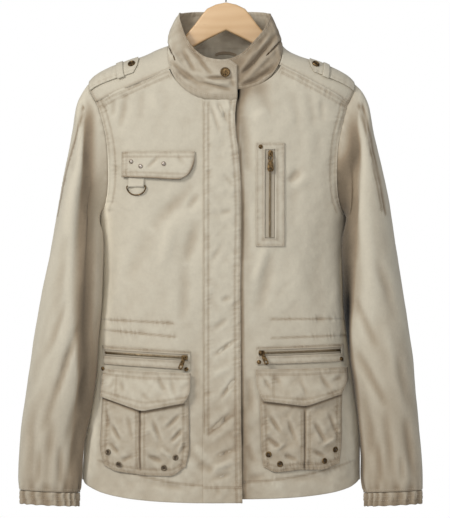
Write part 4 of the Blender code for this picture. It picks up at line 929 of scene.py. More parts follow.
# %% [markdown]
# ## Sleeves and cuffs
# A sleeve hangs from its armhole: its first ring is the armhole itself, and within five rings it turns
# into a flattened tube that leans out. The long fold down its front is in the rings. The elbow's slanting
# creases and the gathers above the elastic cuff are relief, placed as they lie in the picture, and
# similar ones go on the hidden side.

# %% Sleeve rings
Ring = namedtuple("Ring", "outer_drop outer_l outer_r inner_drop inner_l inner_r half mid"
                          " fold_l angle_l fold_r angle_r")
# l and r are the picture's left and right, half is half a ring's depth, and mid is the y of its middle
SLEEVE = [Ring(*row) for row in (
    (190, -212, 198, 395, -198, 187, 37, 0, 0, 85, 0, 80),
    (203, -222, 211, 399, -199, 187, 39, -1, 3, 86, 2, 82),
    (225, -232, 221, 404, -198, 186, 42, -3, 6, 88, 5, 84),
    (262, -238, 228, 410, -196, 184, 46, -7, 8, 90, 7, 98),
    (300, -246, 237, 417, -193, 181, 49, -11, 9, 90, 7, 116),
    (340, -254, 245, 427, -191, 179, 51, -14, 9, 90, 5, 134),
    (382, -261, 253, 442, -190, 178, 51, -16, 9, 91, 2, 150),
    (428, -268, 260, 464, -190, 179, 50, -18, 8, 92, 0, 150),
    (475, -276, 267, 496, -191, 181, 49, -18, 5, 92, 0, 150),
    (520, -285, 274, 530, -193, 182, 48, -18, 2, 93, 0, 90),
    (566, -293, 281, 569, -196, 185, 46, -19, 0, 93, 0, 90),
    (614, -301, 288, 615, -199, 190, 45, -20, 0, 90, 0, 90),
    (662, -308, 293, 662, -203, 198, 43, -20, 0, 90, 0, 90),
    (710, -314, 298, 710, -211, 204, 40, -20, 0, 90, 0, 90),
    (755, -318.5, 301.5, 755, -219, 208, 35, -20, 0, 90, 0, 90),
    (792, -320, 303, 793, -222, 209, 30, -20, 0, 90, 0, 90),
    (818, -318.5, 303, 822, -226, 213, 24, -20, 0, 90, 0, 90),
)]
SLEEVE_AT = table_curves(SLEEVE, None)
FOLD_TURN = 15             # how wide the lengthwise fold is, in degrees
ARMHOLE_FADE = 5           # rings over which the armhole turns into a tube
BODY_CLEARANCE = 1.5
SLEEVE_FOOT = 822          # the drop at which the cloth is gathered into the cuff
SHADE_SPAN = (200, 820)    # the drops that the shade's tables go over
CUFF_HEIGHT, CUFF_GATHERS, CUFF_RIPPLE = 17.5, 16, 1.3

# %% [markdown]
# The folds on a sleeve's front are placed one by one. Its seam is a twin row on the left sleeve and a
# single one on the right. Its shade follows the soft lengthwise ridge: inside it the cloth falls back.

# %% Folds, seams and shade of the sleeves
SLEEVE_FOLDS = {
    -1: fold_table(
        (-226, 560, -252, 640, 2.0, 7), (-234, 592, -262, 672, 2.2, 6), (-244, 520, -275, 612, 1.6, 7),
        (-214, 637, -242, 742, 2.0, 8), (-252, 640, -285, 735, 1.6, 8), (-246, 420, -262, 560, 1.2, 12),
        (-222, 700, -240, 800, 2.0, 7), (-268, 700, -276, 806, 1.8, 8), (-296, 690, -304, 800, 1.8, 8),
        (-232, 232, -240, 330, 1.6, 9), (-222, 215, -226, 262, 1.6, 6), (-254, 745, -256, 812, 2.0, 6),
        (-286, 750, -290, 812, 1.6, 5), (-204, 470, -214, 600, 1.6, 8), (-240, 340, -250, 430, -1.0, 12),
        (-212, 214, -214, 330, 2.4, 11), (-212, 290, -222, 500, 2.2, 12), (-206, 400, -204, 520, 1.6, 8)),
    1: fold_table(
        (196, 520, 232, 600, 1.8, 8), (200, 600, 246, 690, 2.0, 8), (236, 470, 262, 560, 1.4, 9),
        (210, 660, 226, 770, 2.0, 8), (262, 600, 284, 700, 1.6, 9), (244, 690, 256, 800, 2.2, 8),
        (276, 700, 288, 800, 1.8, 7), (232, 740, 238, 810, 1.8, 6), (224, 240, 236, 340, 1.5, 9),
        (212, 212, 218, 270, 1.6, 6), (196, 330, 200, 470, 1.6, 7), (268, 760, 272, 812, 1.6, 5),
        (214, 400, 226, 520, -1.2, 12), (244, 560, 262, 640, -1.0, 9), (203, 240, 194, 400, 2.4, 11),
        (194, 360, 197, 560, 2.0, 11)),
}
SLEEVE_SEAMS = {
    -1: [Seam([(-221, 226), (-230, 256), (-240, 291), (-251, 342), (-260.5, 395)], 0.4, 8, 0.8)],
    1: [Seam([(211, 222), (217, 245), (225, 274), (245, 392)], 0.4, 8, 0.8),
        Seam([(205, 222), (211, 245), (219.5, 274), (239.5, 388)], 0.3, 8, 0.6)],
}

SLEEVE_RIDGE = {
    -1: ((200, 0.38), (300, 0.42), (470, 0.45), (560, 0.52), (640, 0.62), (740, 0.66), (820, 0.66)),
    1: ((200, 0.42), (250, 0.50), (330, 0.62), (400, 0.74), (500, 0.84), (590, 0.88), (820, 0.9))}
SLEEVE_FALL = {-1: ((200, 0), (250, 6), (330, 9), (600, 9), (720, 5), (800, 0)),
               1: ((200, 0), (250, 1.5), (330, 2.5), (560, 2), (700, 1), (800, 0))}
Shade = namedtuple("Shade", "drop start full depth lighter")       # lighter: how much fades again past full
SLEEVE_SHADE = {
    -1: table_curves([Shade(*row) for row in (
        (200, -221, -216, 0.4, 0.9), (231, -220, -215, 1.0, 0.9), (246, -222, -216, 2.2, 0.9),
        (293, -223, -216, 3.3, 0.8), (339, -226, -217, 3.6, 0.7), (401, -234, -220, 3.6, 0.7),
        (463, -240, -223, 3.0, 0.5), (525, -243, -221, 3.2, 0.55), (587, -236, -222, 3.0, 0.3),
        (649, -230, -221, 3.2, 0.2), (711, -236, -219, 2.8, 0.1), (773, -248, -221, 2.8, 0),
        (820, -262, -226, 2.3, 0))], "drop"),
    1: table_curves([Shade(*row) for row in (
        (200, 208, 202, 0.4, 0.8), (231, 208, 202, 0.8, 0.8), (246, 206, 201, 1.5, 0.8),
        (293, 209, 200, 3.2, 0.7), (339, 207, 184, 4.4, 0), (401, 205, 183, 4.8, 0),
        (463, 202, 184, 5.6, 0), (525, 196, 187, 6.6, 0), (587, 196, 188, 6.6, 0),
        (649, 205, 194, 6.0, 0), (711, 210, 202, 5.2, 0), (773, 216, 208, 5.0, 0),
        (820, 217, 209, 2.0, 0))], "drop")}


def sleeve_facet(hand, turn, x, drop):
    """How far the sleeve falls back inside its ridge, and the painted shade there."""
    u = (1 - np.cos(np.radians(turn))) / 2
    ridge = np.interp(drop, *zip(*SLEEVE_RIDGE[hand]))
    fall = np.interp(drop, *zip(*SLEEVE_FALL[hand]))
    start, full, depth, lighter = (SLEEVE_SHADE[hand][name](np.clip(drop, *SHADE_SPAN))
                                   for name in Shade._fields[1:])
    inward = np.abs(full - start)
    past = -hand * (x - start)
    shade = depth * ease(past / inward, 0, 1) * (1 - lighter * ease(past, inward + 5, inward + 22))
    return -fall * ease(u, ridge, ridge + 0.36) * (1 - ease(u, 0.86, 1)), -shade


# %% [markdown]
# A place on a sleeve is a ring's number and a turn round it. Near its head the ring gives way to the
# armhole, and wherever the tube would cut into the body it is pushed out until it clears it.

# %% Points and relief of the sleeves
def plain_ring_point(k, hand, turn):
    """Points of the sleeve's rings: turn 0 is the outer end and 90 the front."""
    k, turn = np.broadcast_arrays(np.asarray(k, float), np.asarray(turn, float))
    side = "l" if hand < 0 else "r"
    at = {name: SLEEVE_AT[name](k) for name in Ring._fields}
    outer = np.stack((at["outer_" + side], 0 * k, -at["outer_drop"]), -1)
    inner = np.stack((at["inner_" + side], 0 * k, -at["inner_drop"]), -1)
    angle = np.radians(turn)
    point = (outer + inner) / 2 + (outer - inner) / 2 * np.cos(angle)[..., None]
    point[..., 1] = at["mid"] - at["half"] * np.sin(angle)
    point[..., 1] += at["fold_" + side] * bell(turn - at["angle_" + side], FOLD_TURN)
    return point


def armhole_point(hand, turn):
    """The armhole's own edge, by the same turn."""
    drop = turn_drop(turn)
    front = np.asarray(turn) <= 180
    across = np.minimum(armhole_across(np.minimum(drop, ARMPIT_DROP), front), 1)
    return body_point(hand * np.degrees(np.arcsin(across ** (1 / EDGE_SPREAD))), drop, front)


def keep_clear(point, hand):
    """Move sleeve points sideways until they clear the body's side."""
    drop = -point[..., 2]
    left, right, seam = (BODY_AT[name](drop) for name in ("left", "right", "seam"))
    face = np.where(point[..., 1] < seam, BODY_AT["front"](drop), BODY_AT["back"](drop))
    depth = np.minimum(np.abs((point[..., 1] - seam) / (face - seam)), 1)
    edge = (left + right) / 2 + hand * (right - left) / 2 * (1 - depth * depth) ** (1 / FLAT_FRONT)
    limit = edge + hand * BODY_CLEARANCE
    low = (drop >= ARMPIT_DROP - 12) & (hand * point[..., 0] < hand * limit)
    point[..., 0] = np.where(low, limit, point[..., 0])
    return point


def sleeve_points(hand, k, turn):
    """Points of a sleeve: the armhole at ring 0, and the tube from ring 5 on."""
    k, turn = np.broadcast_arrays(np.asarray(k, float), np.asarray(turn, float))
    keep = np.maximum(0, 1 - k / ARMHOLE_FADE) ** 1.5
    point = plain_ring_point(k, hand, turn)
    point = point + (armhole_point(hand, turn) - plain_ring_point(0, hand, turn)) * keep[..., None]
    point[..., 0] += hand * 0.8 * keep
    return keep_clear(point, hand)


def sleeve_relief(hand, turn, plain):
    """Folds on the front half as placed, the same a little higher behind, and gathers at the cuff."""
    x, drop = plain[..., 0], -plain[..., 2]
    front = turn <= 180
    bend = np.radians(turn)
    facing = np.abs(np.sin(bend)) ** 0.5
    folds = np.where(front, fold_height(x, drop, SLEEVE_FOLDS[hand]),
                     0.9 * fold_height(x, drop + 26, SLEEVE_FOLDS[hand]))
    seams, pale = seam_height(x, drop, SLEEVE_SEAMS[hand], 3.0)
    around = turn * 0.8
    low = ease(drop, 560, 800)
    soft = crumple(np.cos(bend) * 46, np.sin(bend) * 46 + drop * 0.45, 34, 20.0 + hand)
    soft = soft * (1.4 + 0.8 * low) + crumple(around, drop * 0.5, 12, 24.0 + hand) * 0.3
    gathers = np.cos(bend * CUFF_GATHERS + 1.4 * np.sin(bend * 3)) * 1.25
    gathers += np.cos(bend * 9 + 2) * 1.2
    gathers = gathers * bell(SLEEVE_FOOT - drop, 24)
    top = np.linalg.norm(plain - plain[0], axis=-1)
    head = 0.5 * np.sin(around * 2 * np.pi / 9) * bell(top, 6)
    height = (folds * facing + 1.5 * soft) * ease(top, 0, 12) * (1 - 0.8 * ease(drop, 800, 820)) + gathers
    facet, shade = sleeve_facet(hand, turn, x, drop)
    height += (seams * front) + head * ease(top, 0, 3) + facet * ease(top, 0, 40)
    # Painted shade above the cuff, low down and on the sleeve away from the key lamp, with a darker line at
    # the armhole seam; painted light along the outer edge and on the head's puckers.
    tone = pale * front + shade * front - 0.5 * bell(SLEEVE_FOOT - drop, 12) - 0.3 * bell(top, 3)
    outer_edge = bell(np.minimum(turn, 360 - turn), 26)
    tone = tone - 0.55 * ease(drop, 520, 780) - 0.3 * (hand > 0) + 1.4 * outer_edge
    return height * (1 - 0.75 * bell(drop - 820, 3.0)), tone + 0.4 * head

# %% [markdown]
# The rings become a tube of cloth. Its first ring is tucked under the panels' edge, so that no light
# comes through the armhole's seam.

# %% Sleeves in cloth
ARMHOLE_TUCK = -1.7        # the sleeve's first ring goes under the panel's edge, as a seam allowance does
SLEEVE_ROWS, SLEEVE_STEP = 210, 5.0        # rings down the sleeve, degrees between the points of a ring
SLEEVE_GRID = {}


def sleeve(hand):
    """A sleeve from the armhole to the top of its cuff, its first ring tucked in behind the panels' edge."""
    turn = np.arange(0, 360, SLEEVE_STEP)[None, :]
    k = (np.linspace(0, 1, SLEEVE_ROWS) ** 0.93 * (len(SLEEVE) - 1))[:, None]
    k, turn = np.broadcast_arrays(k, turn)
    plain = sleeve_points(hand, k, turn)
    inside = plain.mean(axis=1, keepdims=True)
    normal = grid_normals(plain, True, inside)
    height, pale = sleeve_relief(hand, turn, plain)
    points = keep_clear(plain + normal * height[..., None], hand)
    points[0] = plain[0]
    points[0] += ARMHOLE_TUCK * normal[0] + np.array((-hand * 3.0, 0, 0))
    SLEEVE_GRID[hand] = points
    name = f"sleeve_{TAG[hand]}"
    cloth(f"{name}_cloth", points, (hand * 240, -12, -520), pale, closed=True, plain=plain, node=name)

# %% [markdown]
# A cuff is a band of the same cloth drawn in by elastic. Its top is the sleeve's last ring, and from
# there it falls in upright gathers that two rows of stitches hold down. Each sleeve is then made with
# its cuff, the right one first.

# %% Cuffs in cloth
CUFF_ROWS, CUFF_STEP = 14, 1.5
ELASTIC_ROW_AT = (0.36, 0.68)        # how far down the cuff its two rows run
ELASTIC_GROOVE = 0.7


def cuff_top(hand):
    """The sleeve's last ring, with the x of its outer end and of its inner end."""
    ring = SLEEVE[-1]
    side = "l" if hand < 0 else "r"
    return ring, getattr(ring, "outer_" + side), getattr(ring, "inner_" + side)


def cuff(hand):
    """A gathered cuff under its sleeve."""
    ring, outer_x, inner_x = cuff_top(hand)
    outer = np.array((outer_x, 0, -ring.outer_drop))
    inner = np.array((inner_x, 0, -ring.inner_drop))
    turn = np.radians(np.arange(0, 360, CUFF_STEP))[None, :]
    v = np.linspace(0, 1, CUFF_ROWS)[:, None]
    middle, half = (outer + inner) / 2, (outer - inner) / 2
    swing = np.cos(turn * CUFF_GATHERS + 2.0 * np.sin(turn * 3) + 1.2 * np.sin(turn * 5 + 1)
                   + 0.5 * np.sin(6 * v))
    ripple = CUFF_RIPPLE * swing * (0.55 + 0.45 * np.sin(np.pi * (0.15 + 0.7 * v)))
    ripple = ripple + 0.5 * np.cos(turn * 37 + 2) * np.sin(np.pi * v)
    for at in ELASTIC_ROW_AT:
        ripple = ripple - ELASTIC_GROOVE * bell(v - at, 0.05)
    points = middle + half * (np.cos(turn) * (1 + ripple / abs(half[0]) - 0.012))[..., None]
    points[..., 1] = ring.mid - (ring.half - 1) * np.sin(turn) * (1 + ripple / ring.half)
    points[..., 2] -= 0.8 + (CUFF_HEIGHT + 3) * v + 0.5 * np.cos(turn * CUFF_GATHERS + 1) * v
    # Painted light and shade on the gathers, and painted shade over the whole cuff, more towards its foot and
    # on the cuff away from the key lamp.
    tone = 0.8 * swing * np.ones_like(v) - 1.1 - (0.9 + 0.4 * hand) * v
    name = f"cuff_{TAG[hand]}"
    cloth(f"{name}_cloth", points, (hand * 266, -20, -830), tone, closed=True, node=name)


for hand in HANDS:
    sleeve(hand)
    cuff(hand)

# %% [markdown]
# ## The collar
# A stand collar in soft cloth falls outward and creases. Its foot follows the neckline, its top edge is
# set by a table that goes round the neck, and the right end laps over the left. The creases are placed
# as they show: two deep ones under the snap, slanting ones that fan out to both sides, and the slit on
# each side where a hood can be zipped away.

# %% Collar
CollarStay = namedtuple("CollarStay", "angle lift top_x top_y top_drop swell")
COLLAR = [CollarStay(*row) for row in (
    (-8, 0, -11, -48, 155, 0), (3, 0, 5, -49, 153.5, 1),
    (16, 0, 23, -48, 146, 1), (32, 0, 42, -41, 127, 1.5),
    (49, 0, 57, -29, 109, 2), (68, 0, 66, -13, 92, 2),
    (90, 0, 69, 4, 82, 2), (115, 0, 65, 19, 79.5, 2),
    (139, 0, 47, 31, 77, 2), (161, 0, 23, 36, 76.5, 2),
    (180, 0, 0, 37, 76.5, 2), (199, 0, -23, 36, 76.5, 2),
    (221, 0, -48, 31, 77, 3), (245, 0, -67, 19, 79.5, 5),
    (270, 0, -72, 4, 82, 6), (291, 0, -70, -13, 95, 5),
    (307, 0.4, -61, -29, 120, 3), (325, 1.2, -46, -42, 141, 2),
    (340, 2.4, -29, -50, 151.5, 2), (353, 3, -11, -53.5, 155, 2),
    (364, 3, 7, -54, 156.5, 2), (371.5, 3, 17, -54, 163, 1),
)]
COLLAR_AT = table_curves(COLLAR, "angle")
COLLAR_FOOT_GAP = 0.7
COLLAR_DENT = (-24, 26, 0.24, 0.07, 2.2)        # the crease under the snap: x, reach, level, width, depth
COLLAR_FOLDS = {
    -1: fold_table(
        (-36, 183, 10, 184, 2.4, 3.2), (-44, 190, 9, 202, 1.6, 3.0), (-68, 138, -48, 174, 1.8, 4.0),
        (-84, 158, -40, 194, 1.8, 4.0), (-58, 132, -30, 168, 1.3, 4.0), (-86, 140, -62, 176, -1.3, 4.5),
        (-40, 158, -22, 178, 1.2, 3.5), (-52, 172, -20, 190, -1.2, 4.0), (-76, 170, -50, 190, 1.2, 3.5),
        (-93, 124, -81.5, 149, 2.4, 1.4), (4, 166, 12, 200, 1.0, 3.0), (-16, 190, 6, 194, -1.2, 3.0)),
    1: fold_table(
        (25, 180, 81, 112, 2.4, 4.5), (34, 195, 82, 158, 2.0, 4.5), (24, 168, 68, 116, -1.6, 5.0),
        (28, 188, 78, 136, -1.4, 4.5), (40, 150, 66, 112, 1.4, 4.0), (22, 196, 46, 184, 1.6, 4.0),
        (52, 182, 84, 164, 1.2, 3.5), (63, 149, 88, 122, 2.0, 1.4), (24, 176, 40, 160, 1.6, 3.5)),
}


COLLAR_SHADE = (
    # strength, angles over which it comes, angles over which it goes, heights over which it comes
    (0.9, 195, 225, 256, 268, 0.2, 0.5),
    (0.8, 75, 90, 120, 150, 0.2, 0.5),
    (0.9, 270, 300, 330, 350, 0.7, 1),
)

# %% [markdown]
# A place on the collar is an angle round the neck and a height: 0 is the seam and 1 the top edge.

# %% Points and relief of the collar
def neck_point(angle, lift, below=0.0):
    """Points of the neckline, clear of the panels' edge, or on the panels a little below it."""
    turn = np.radians(angle)
    sine, cosine = np.sin(turn), np.cos(turn)
    x = np.where(sine > 0, neck_half(1), neck_half(-1)) * sine
    front = cosine > 0
    drop = np.where(front, np.where(angle > 180, neckline(x, -1), neckline(x, 1)), neckline(x, 0))
    drop = np.maximum(drop, NECK_DROP) - COLLAR_FOOT_GAP + below
    over = angle_of(x, np.maximum(drop, NECK_DROP))
    return body_point(over, drop, front) + outward(over, np.maximum(drop, NECK_DROP), front) * lift[..., None]


def collar_place(angle, height):
    """Points of the collar, by the angle round the neck and the height up from its foot."""
    angle, height = np.broadcast_arrays(np.asarray(angle, float), np.asarray(height, float))
    foot = neck_point(angle, COLLAR_AT["lift"](angle))
    top = np.stack((COLLAR_AT["top_x"](angle), COLLAR_AT["top_y"](angle), -COLLAR_AT["top_drop"](angle)), -1)
    point = foot + (top - foot) * height[..., None]
    away = unit(np.stack((point[..., 0], point[..., 1] + 8, 0 * height), -1))
    point = point + away * (COLLAR_AT["swell"](angle) * np.sin(np.pi * height))[..., None]
    middle, reach, level, width, depth = COLLAR_DENT
    dent = depth * bell(point[..., 0] - middle, reach) * bell(height - level, width)
    point[..., 1] += np.where(angle > 280, dent, 0)
    return point


def collar_relief(angle, height, plain):
    """The collar's creases and puckers, and its tone: painted light and shade on the puckers, and painted
    shade in its rows and over parts of it.
    """
    x, drop = plain[..., 0], -plain[..., 2]
    right_half = angle > 180
    folds = np.where(right_half, fold_height(x, drop, COLLAR_FOLDS[-1]),
                     fold_height(x, drop, COLLAR_FOLDS[1]))
    forward = ease(-plain[..., 1], -14, 8)
    soft = crumple(angle * 1.1, drop, 26, 31.0) * 1.0 + crumple(angle * 1.2, drop, 9, 33.0) * 0.75
    rows = -0.35 * np.exp(-((1 - height) * 70 / 1.3 - 4) ** 2) - 0.3 * np.exp(-(height * 70 / 1.3 - 3) ** 2)
    puckers = 0.3 * np.sin(angle * 0.95 + 2 * crumple(angle, 0 * angle, 9, 3.0)) * (
        bell((1 - height) * 70, 6) + bell(height * 70, 6))
    hold = ease(height, 0, 0.08)
    left_end = angle < 100
    shaded = 0.35 + 1.7 * left_end * ease(x, -10, 12) + 0.5 * bell(x - 28, 20) * left_end
    shaded += 0.9 * ease(angle, 278, 304)
    for strength, comes, come, goes, gone, low, high in COLLAR_SHADE:
        there = ease(angle, comes, come) * (1 - ease(angle, goes, gone))
        shaded += strength * there * ease(height, low, high)
    height_out = (1.15 * folds * forward + 1.4 * soft) * hold + (rows + puckers) * hold
    return height_out, puckers * 0.7 + rows - shaded

# %% [markdown]
# Its foot is tucked in behind the neckline, as the seam there is turned to the inside. At the back of
# the neck it goes further down, where a facing lines the panel.

# %% The collar in cloth
COLLAR_TUCK = (5.0, 8.0)        # how far the collar's foot goes in and down, behind the neckline
BACK_FACING = (1.5, 20.0)       # the same at the back of the neck, where a facing lines the back panel
COLLAR_COLUMNS, COLLAR_ROWS = 230, 44
angle = np.linspace(COLLAR[0].angle, COLLAR[-1].angle, COLLAR_COLUMNS)[None, :]
height = np.linspace(0, 1, COLLAR_ROWS)[:, None]
angle, height = np.broadcast_arrays(angle, height)
plain = collar_place(angle, height)
out = grid_normals(plain, False, (0, -5, -130))
rise, pale = collar_relief(angle, height, plain)
points = plain + out * rise[..., None]
behind = ease(angle[0], 105, 135) * (1 - ease(angle[0], 225, 255))
tuck_in, tuck_down = (COLLAR_TUCK[i] + (BACK_FACING[i] - COLLAR_TUCK[i]) * behind for i in (0, 1))
tuck = unit(points[0] * (-1, -1, 0) + (0, -8, 0)) * tuck_in[:, None]
tuck[:, 2] -= tuck_down
lapped = ease(angle[0], 258, 272) * (1 - ease(angle[0], 322, 336))
lap = neck_point(angle[0], 1.6 + 0 * angle[0], 5.0) - points[0]
tuck += (lap - tuck) * lapped[:, None]
points[0] += tuck
plain[0] += tuck
cloth("collar_cloth", points[::-1], (0, -5, -130), pale[::-1], plain=plain[::-1], node="collar")

# %% [markdown]
# ## What is laid on the fronts
# The placket, welts, pockets and flaps are made as patches: a place on the front, plus a lift. The lift
# carries each one's own form, such as the pocket's fullness, its centre pleat, or the flap's loose lower
# edge. Because the front's relief is shared, a patch never sinks into the panel under it.


# %% Patches
ROUNDING = 0.05      # how far a patch's corners are rounded, as a part of its side


def rounded_edge(at, keys):
    """A side's line with its corners rounded off."""
    return np.mean([np.interp(at + ROUNDING * step, *zip(*keys)) for step in np.linspace(-1, 1, 7)], axis=0)


def outline_place(outline, u, v):
    """Places (x, drop) of a patch: u runs left to right and v top to bottom."""
    u, v = np.broadcast_arrays(u, v)
    left, right = rounded_edge(v, outline.left), rounded_edge(v, outline.right)
    top, bottom = rounded_edge(u, outline.top), rounded_edge(u, outline.bottom)
    return left + (right - left) * u, top + (bottom - top) * v


def evened(values, reach=9):
    """A grid of values smoothed over its neighbours."""
    grid = np.pad(np.asarray(values, float), reach, mode="edge")
    rows, columns = np.shape(values)
    grid = sum(grid[k:k + rows] for k in range(2 * reach + 1)) / (2 * reach + 1)
    return sum(grid[:, k:k + columns] for k in range(2 * reach + 1)) / (2 * reach + 1)


def between(corners, u, v):
    """Places inside four corners."""
    (ax, ad), (bx, bd), (cx, cd), (dx, dd) = corners
    drop = (ad * (1 - u) + bd * u) * (1 - v) + (dd * (1 - u) + cd * u) * v
    return (ax * (1 - v) + dx * v) * (1 - u) + (bx * (1 - v) + cx * v) * u, drop


def own_relief(x, drop, seams, folds=(), rough=0.6, seed=40.0):
    """A patch's own creases on top of the front's."""
    height, pale = seam_height(x, drop, seams, seed)
    soft = crumple(x, drop, 15, seed) * rough + crumple(x, drop, 6.5, seed + 2) * rough * 0.3
    return height + soft + fold_height(x, drop, folds), pale


def patch(name, x, drop, lift, pale, closed=False, rests_on=("front_r_cloth",)):
    """A piece sewn on the fronts, from places there, how far each is lifted and how pale it is."""
    points = on_body(x, drop, lift)
    plain = on_body(x, drop, evened(np.broadcast_to(lift, np.shape(x))), rough=False)
    inside = (0, 200, float(points[..., 2].mean()))
    cloth(f"{name}_cloth", points, inside, pale, wall=TRIM_WALL, closed=closed, plain=plain, node=name)


# %% [markdown]
# The placket is a doubled strip over the front zip. It is sewn down by its left edge and its right edge
# is loose, with two rows beside it. Its folds slant, because the strip was sewn a little tight.

# %% The placket
PLACKET_TOP, PLACKET_FOOT = 216.6, HEM[-1][0] - 0.2
PLACKET_GRID = (34, 300)
PLACKET_FOLDS = fold_table(
    (-14, 220, 5, 256, 1.3, 4), (-24, 222, -10, 268, 1.2, 4), (0, 218, 12, 244, -1.0, 3.5),
    (-17, 609, 14, 586, 1.6, 4), (-9, 676, 14, 646, 1.6, 4), (-28, 728, 15, 693, 1.6, 5),
    (-24, 742, 16, 712, -0.8, 6), (-10, 392, 9, 388, 0.9, 5), (-9, 525, 10, 521, 1.1, 5),
    (-20, 640, 6, 628, -1.0, 6), (-4, 330, 12, 352, 0.9, 5), (-26, 470, -6, 440, 0.9, 6),
    (-20, 570, 4, 552, 0.8, 5), (-16, 764, 18, 752, 1.2, 4), (-24, 800, 10, 790, 1.2, 5),
    (-20, 786, 12, 770, -1.8, 6))
PLACKET_SEAMS = [
    Seam([(float(PLACKET_RIGHT_AT(d)) - inset, float(d)) for d in np.linspace(217, 838, 30)], 0.42, 8.5, 0.4)
    for inset in (1.8, 8.5)]
PLACKET_SEAMS += [Seam([(x, 222), (x, 729)], 0.42, 9, 0.4) for x in (-34, -27.2)]
PLACKET_SEAMS += [Seam([(-27.2, 731), (14, 699)], 0.3, 8, 0.4), Seam([(-35, 812), (24, 812)], 0.5, 11, 0.4)]


def placket_lift(x, drop, u):
    """How far the placket stands off the fronts, and how pale it is."""
    height, pale = own_relief(x, drop, PLACKET_SEAMS, PLACKET_FOLDS, 1.0, 50.0)
    edge = 0.55 * (1 - ease(u, 0, 0.12))
    roll = 0.5 * bell(1 - u, 0.07)
    pale = pale + centre_tone(x, drop)
    return LAID_ON + TRIM - edge + roll + height * ease(u, 0, 0.08), pale


u, v = unit_grid(*PLACKET_GRID)
drop = PLACKET_TOP + (PLACKET_FOOT - PLACKET_TOP) * v
x = PLACKET_LEFT + (PLACKET_RIGHT_AT(drop) - PLACKET_LEFT) * u
lift, pale = placket_lift(x, drop, u)
patch("placket", x, drop, lift, pale, rests_on=("front_r_cloth", "front_l_cloth"))

# %% [markdown]
# A patch pocket is a square of cloth with a pleat in its middle, turned in and sewn down on three
# sides. Its flap is sewn over the top, and hangs clear of it. So the flap's surface is worked out from
# the pocket's, and not from the front's alone.

# %% Pockets and their flaps
PLEAT_SLIT = 1.4           # half the width of the slit where a pocket's pleat meets, and of the painted shade along it
POCKET_GRID, FLAP_GRID = (116, 96), (72, 30)
POCKET_FOOT = 792          # where the pockets' sides end, as a drop


def pocket_uv(hand, x, drop):
    """How far across and how far down its pocket a place lies."""
    outline = POCKET[hand]
    top, bottom = outline.top[0][1], POCKET_FOOT
    v = np.clip((drop - top) / (bottom - top), 0, 1)
    left, right = np.interp(v, *zip(*outline.left)), np.interp(v, *zip(*outline.right))
    return np.clip((x - left) / (right - left), 0, 1), v


def pocket_lift(hand, x, drop):
    """How far the pocket's cloth stands off the front."""
    u, v = pocket_uv(hand, x, drop)
    swell = POCKET_SWELL * np.sin(np.pi * u) ** 0.5 * np.sin(np.pi * np.minimum(0.12 + 0.88 * v, 1)) ** 0.6
    across = bell(x - PLEAT_X[hand], PLEAT_WIDTH)
    pleat = PLEAT_DEPTH * across * np.sin(np.pi * np.minimum(v + 0.2, 1))
    slit = 1.6 * bell(x - PLEAT_X[hand], PLEAT_SLIT) * ease(drop, *PLEAT_SHOWS) * (1 - ease(v, 0.9, 0.97))
    return LAID_ON + TRIM + np.maximum(swell - pleat - slit, 0)


POCKET_FOLDS = {
    -1: fold_table(
        (-84, 742, -66, 722, 2.2, 4), (-92, 722, -70, 700, 1.8, 4), (-176, 716, -160, 742, 1.9, 4),
        (-150, 700, -142, 742, 1.4, 4), (-112, 706, -100, 742, 1.6, 4), (-178, 745, -164, 760, 1.8, 4),
        (-120, 764, -98, 772, 1.9, 4), (-160, 772, -142, 764, 1.6, 4), (-74, 760, -64, 738, -1.5, 4),
        (-100, 752, -84, 766, -1.4, 4), (-184, 690, -178, 730, 1.5, 4)),
    1: fold_table(
        (66, 700, 84, 730, 1.9, 4), (62, 735, 84, 752, 2.0, 4), (94, 706, 106, 742, 1.5, 4),
        (134, 712, 150, 742, 1.9, 4), (156, 700, 168, 730, 1.6, 4), (132, 756, 152, 766, 1.8, 4),
        (88, 762, 108, 770, 1.8, 4), (146, 748, 166, 738, -1.6, 4), (72, 756, 92, 744, -1.4, 4)),
}
FLAP_FOLDS = {
    -1: fold_table(
        (-160, 644, -156, 668, 1.0, 4), (-104, 646, -92, 664, 1.1, 4), (-84, 642, -78, 672, 1.0, 4),
        (-176, 664, -170, 646, 1.0, 3.5), (-128, 668, -112, 682, 0.9, 4)),
    1: fold_table(
        (56, 640, 68, 664, 1.3, 4), (74, 640, 82, 654, 1.0, 4), (112, 646, 122, 672, 0.9, 4),
        (142, 640, 156, 662, 1.2, 4), (160, 650, 176, 644, 1.0, 4)),
}

# %% [markdown]
# Rows of stitches follow a patch's own edges, an inset in from them. Where a loose flap hangs over its
# pocket, the pocket lies in a thin line of shade.

# %% Rows and surfaces of the pockets
def edge_run(outline, side, inset, count=14, low=0.0, high=1.0):
    """A line along one edge of a patch, an inset in from it, as (x, drop)."""
    t = np.linspace(low, high, count)
    width = abs(outline.right[0][1] - outline.left[0][1])
    tall = abs(outline.bottom[0][1] - outline.top[0][1])
    u = {"left": inset / width, "right": 1 - inset / width}.get(side, t)
    v = {"top": inset / tall, "bottom": 1 - inset / tall}.get(side, t)
    x, drop = outline_place(outline, np.broadcast_to(u, t.shape), np.broadcast_to(v, t.shape))
    return list(zip(x.tolist(), drop.tolist()))


def pocket_rows(hand):
    """A pocket's rows of stitches: double on three sides, and one on each side of its pleat."""
    rows = [edge_run(POCKET[hand], side, inset, low=0.03, high=0.97)
            for side, insets in (("left", (2, 8.5)), ("right", (2, 8.5)), ("bottom", (2.2, 9)))
            for inset in insets]
    return rows + [[(PLEAT_X[hand] + dx, 697), (PLEAT_X[hand] + dx, 778)] for dx in (-5, 7)]


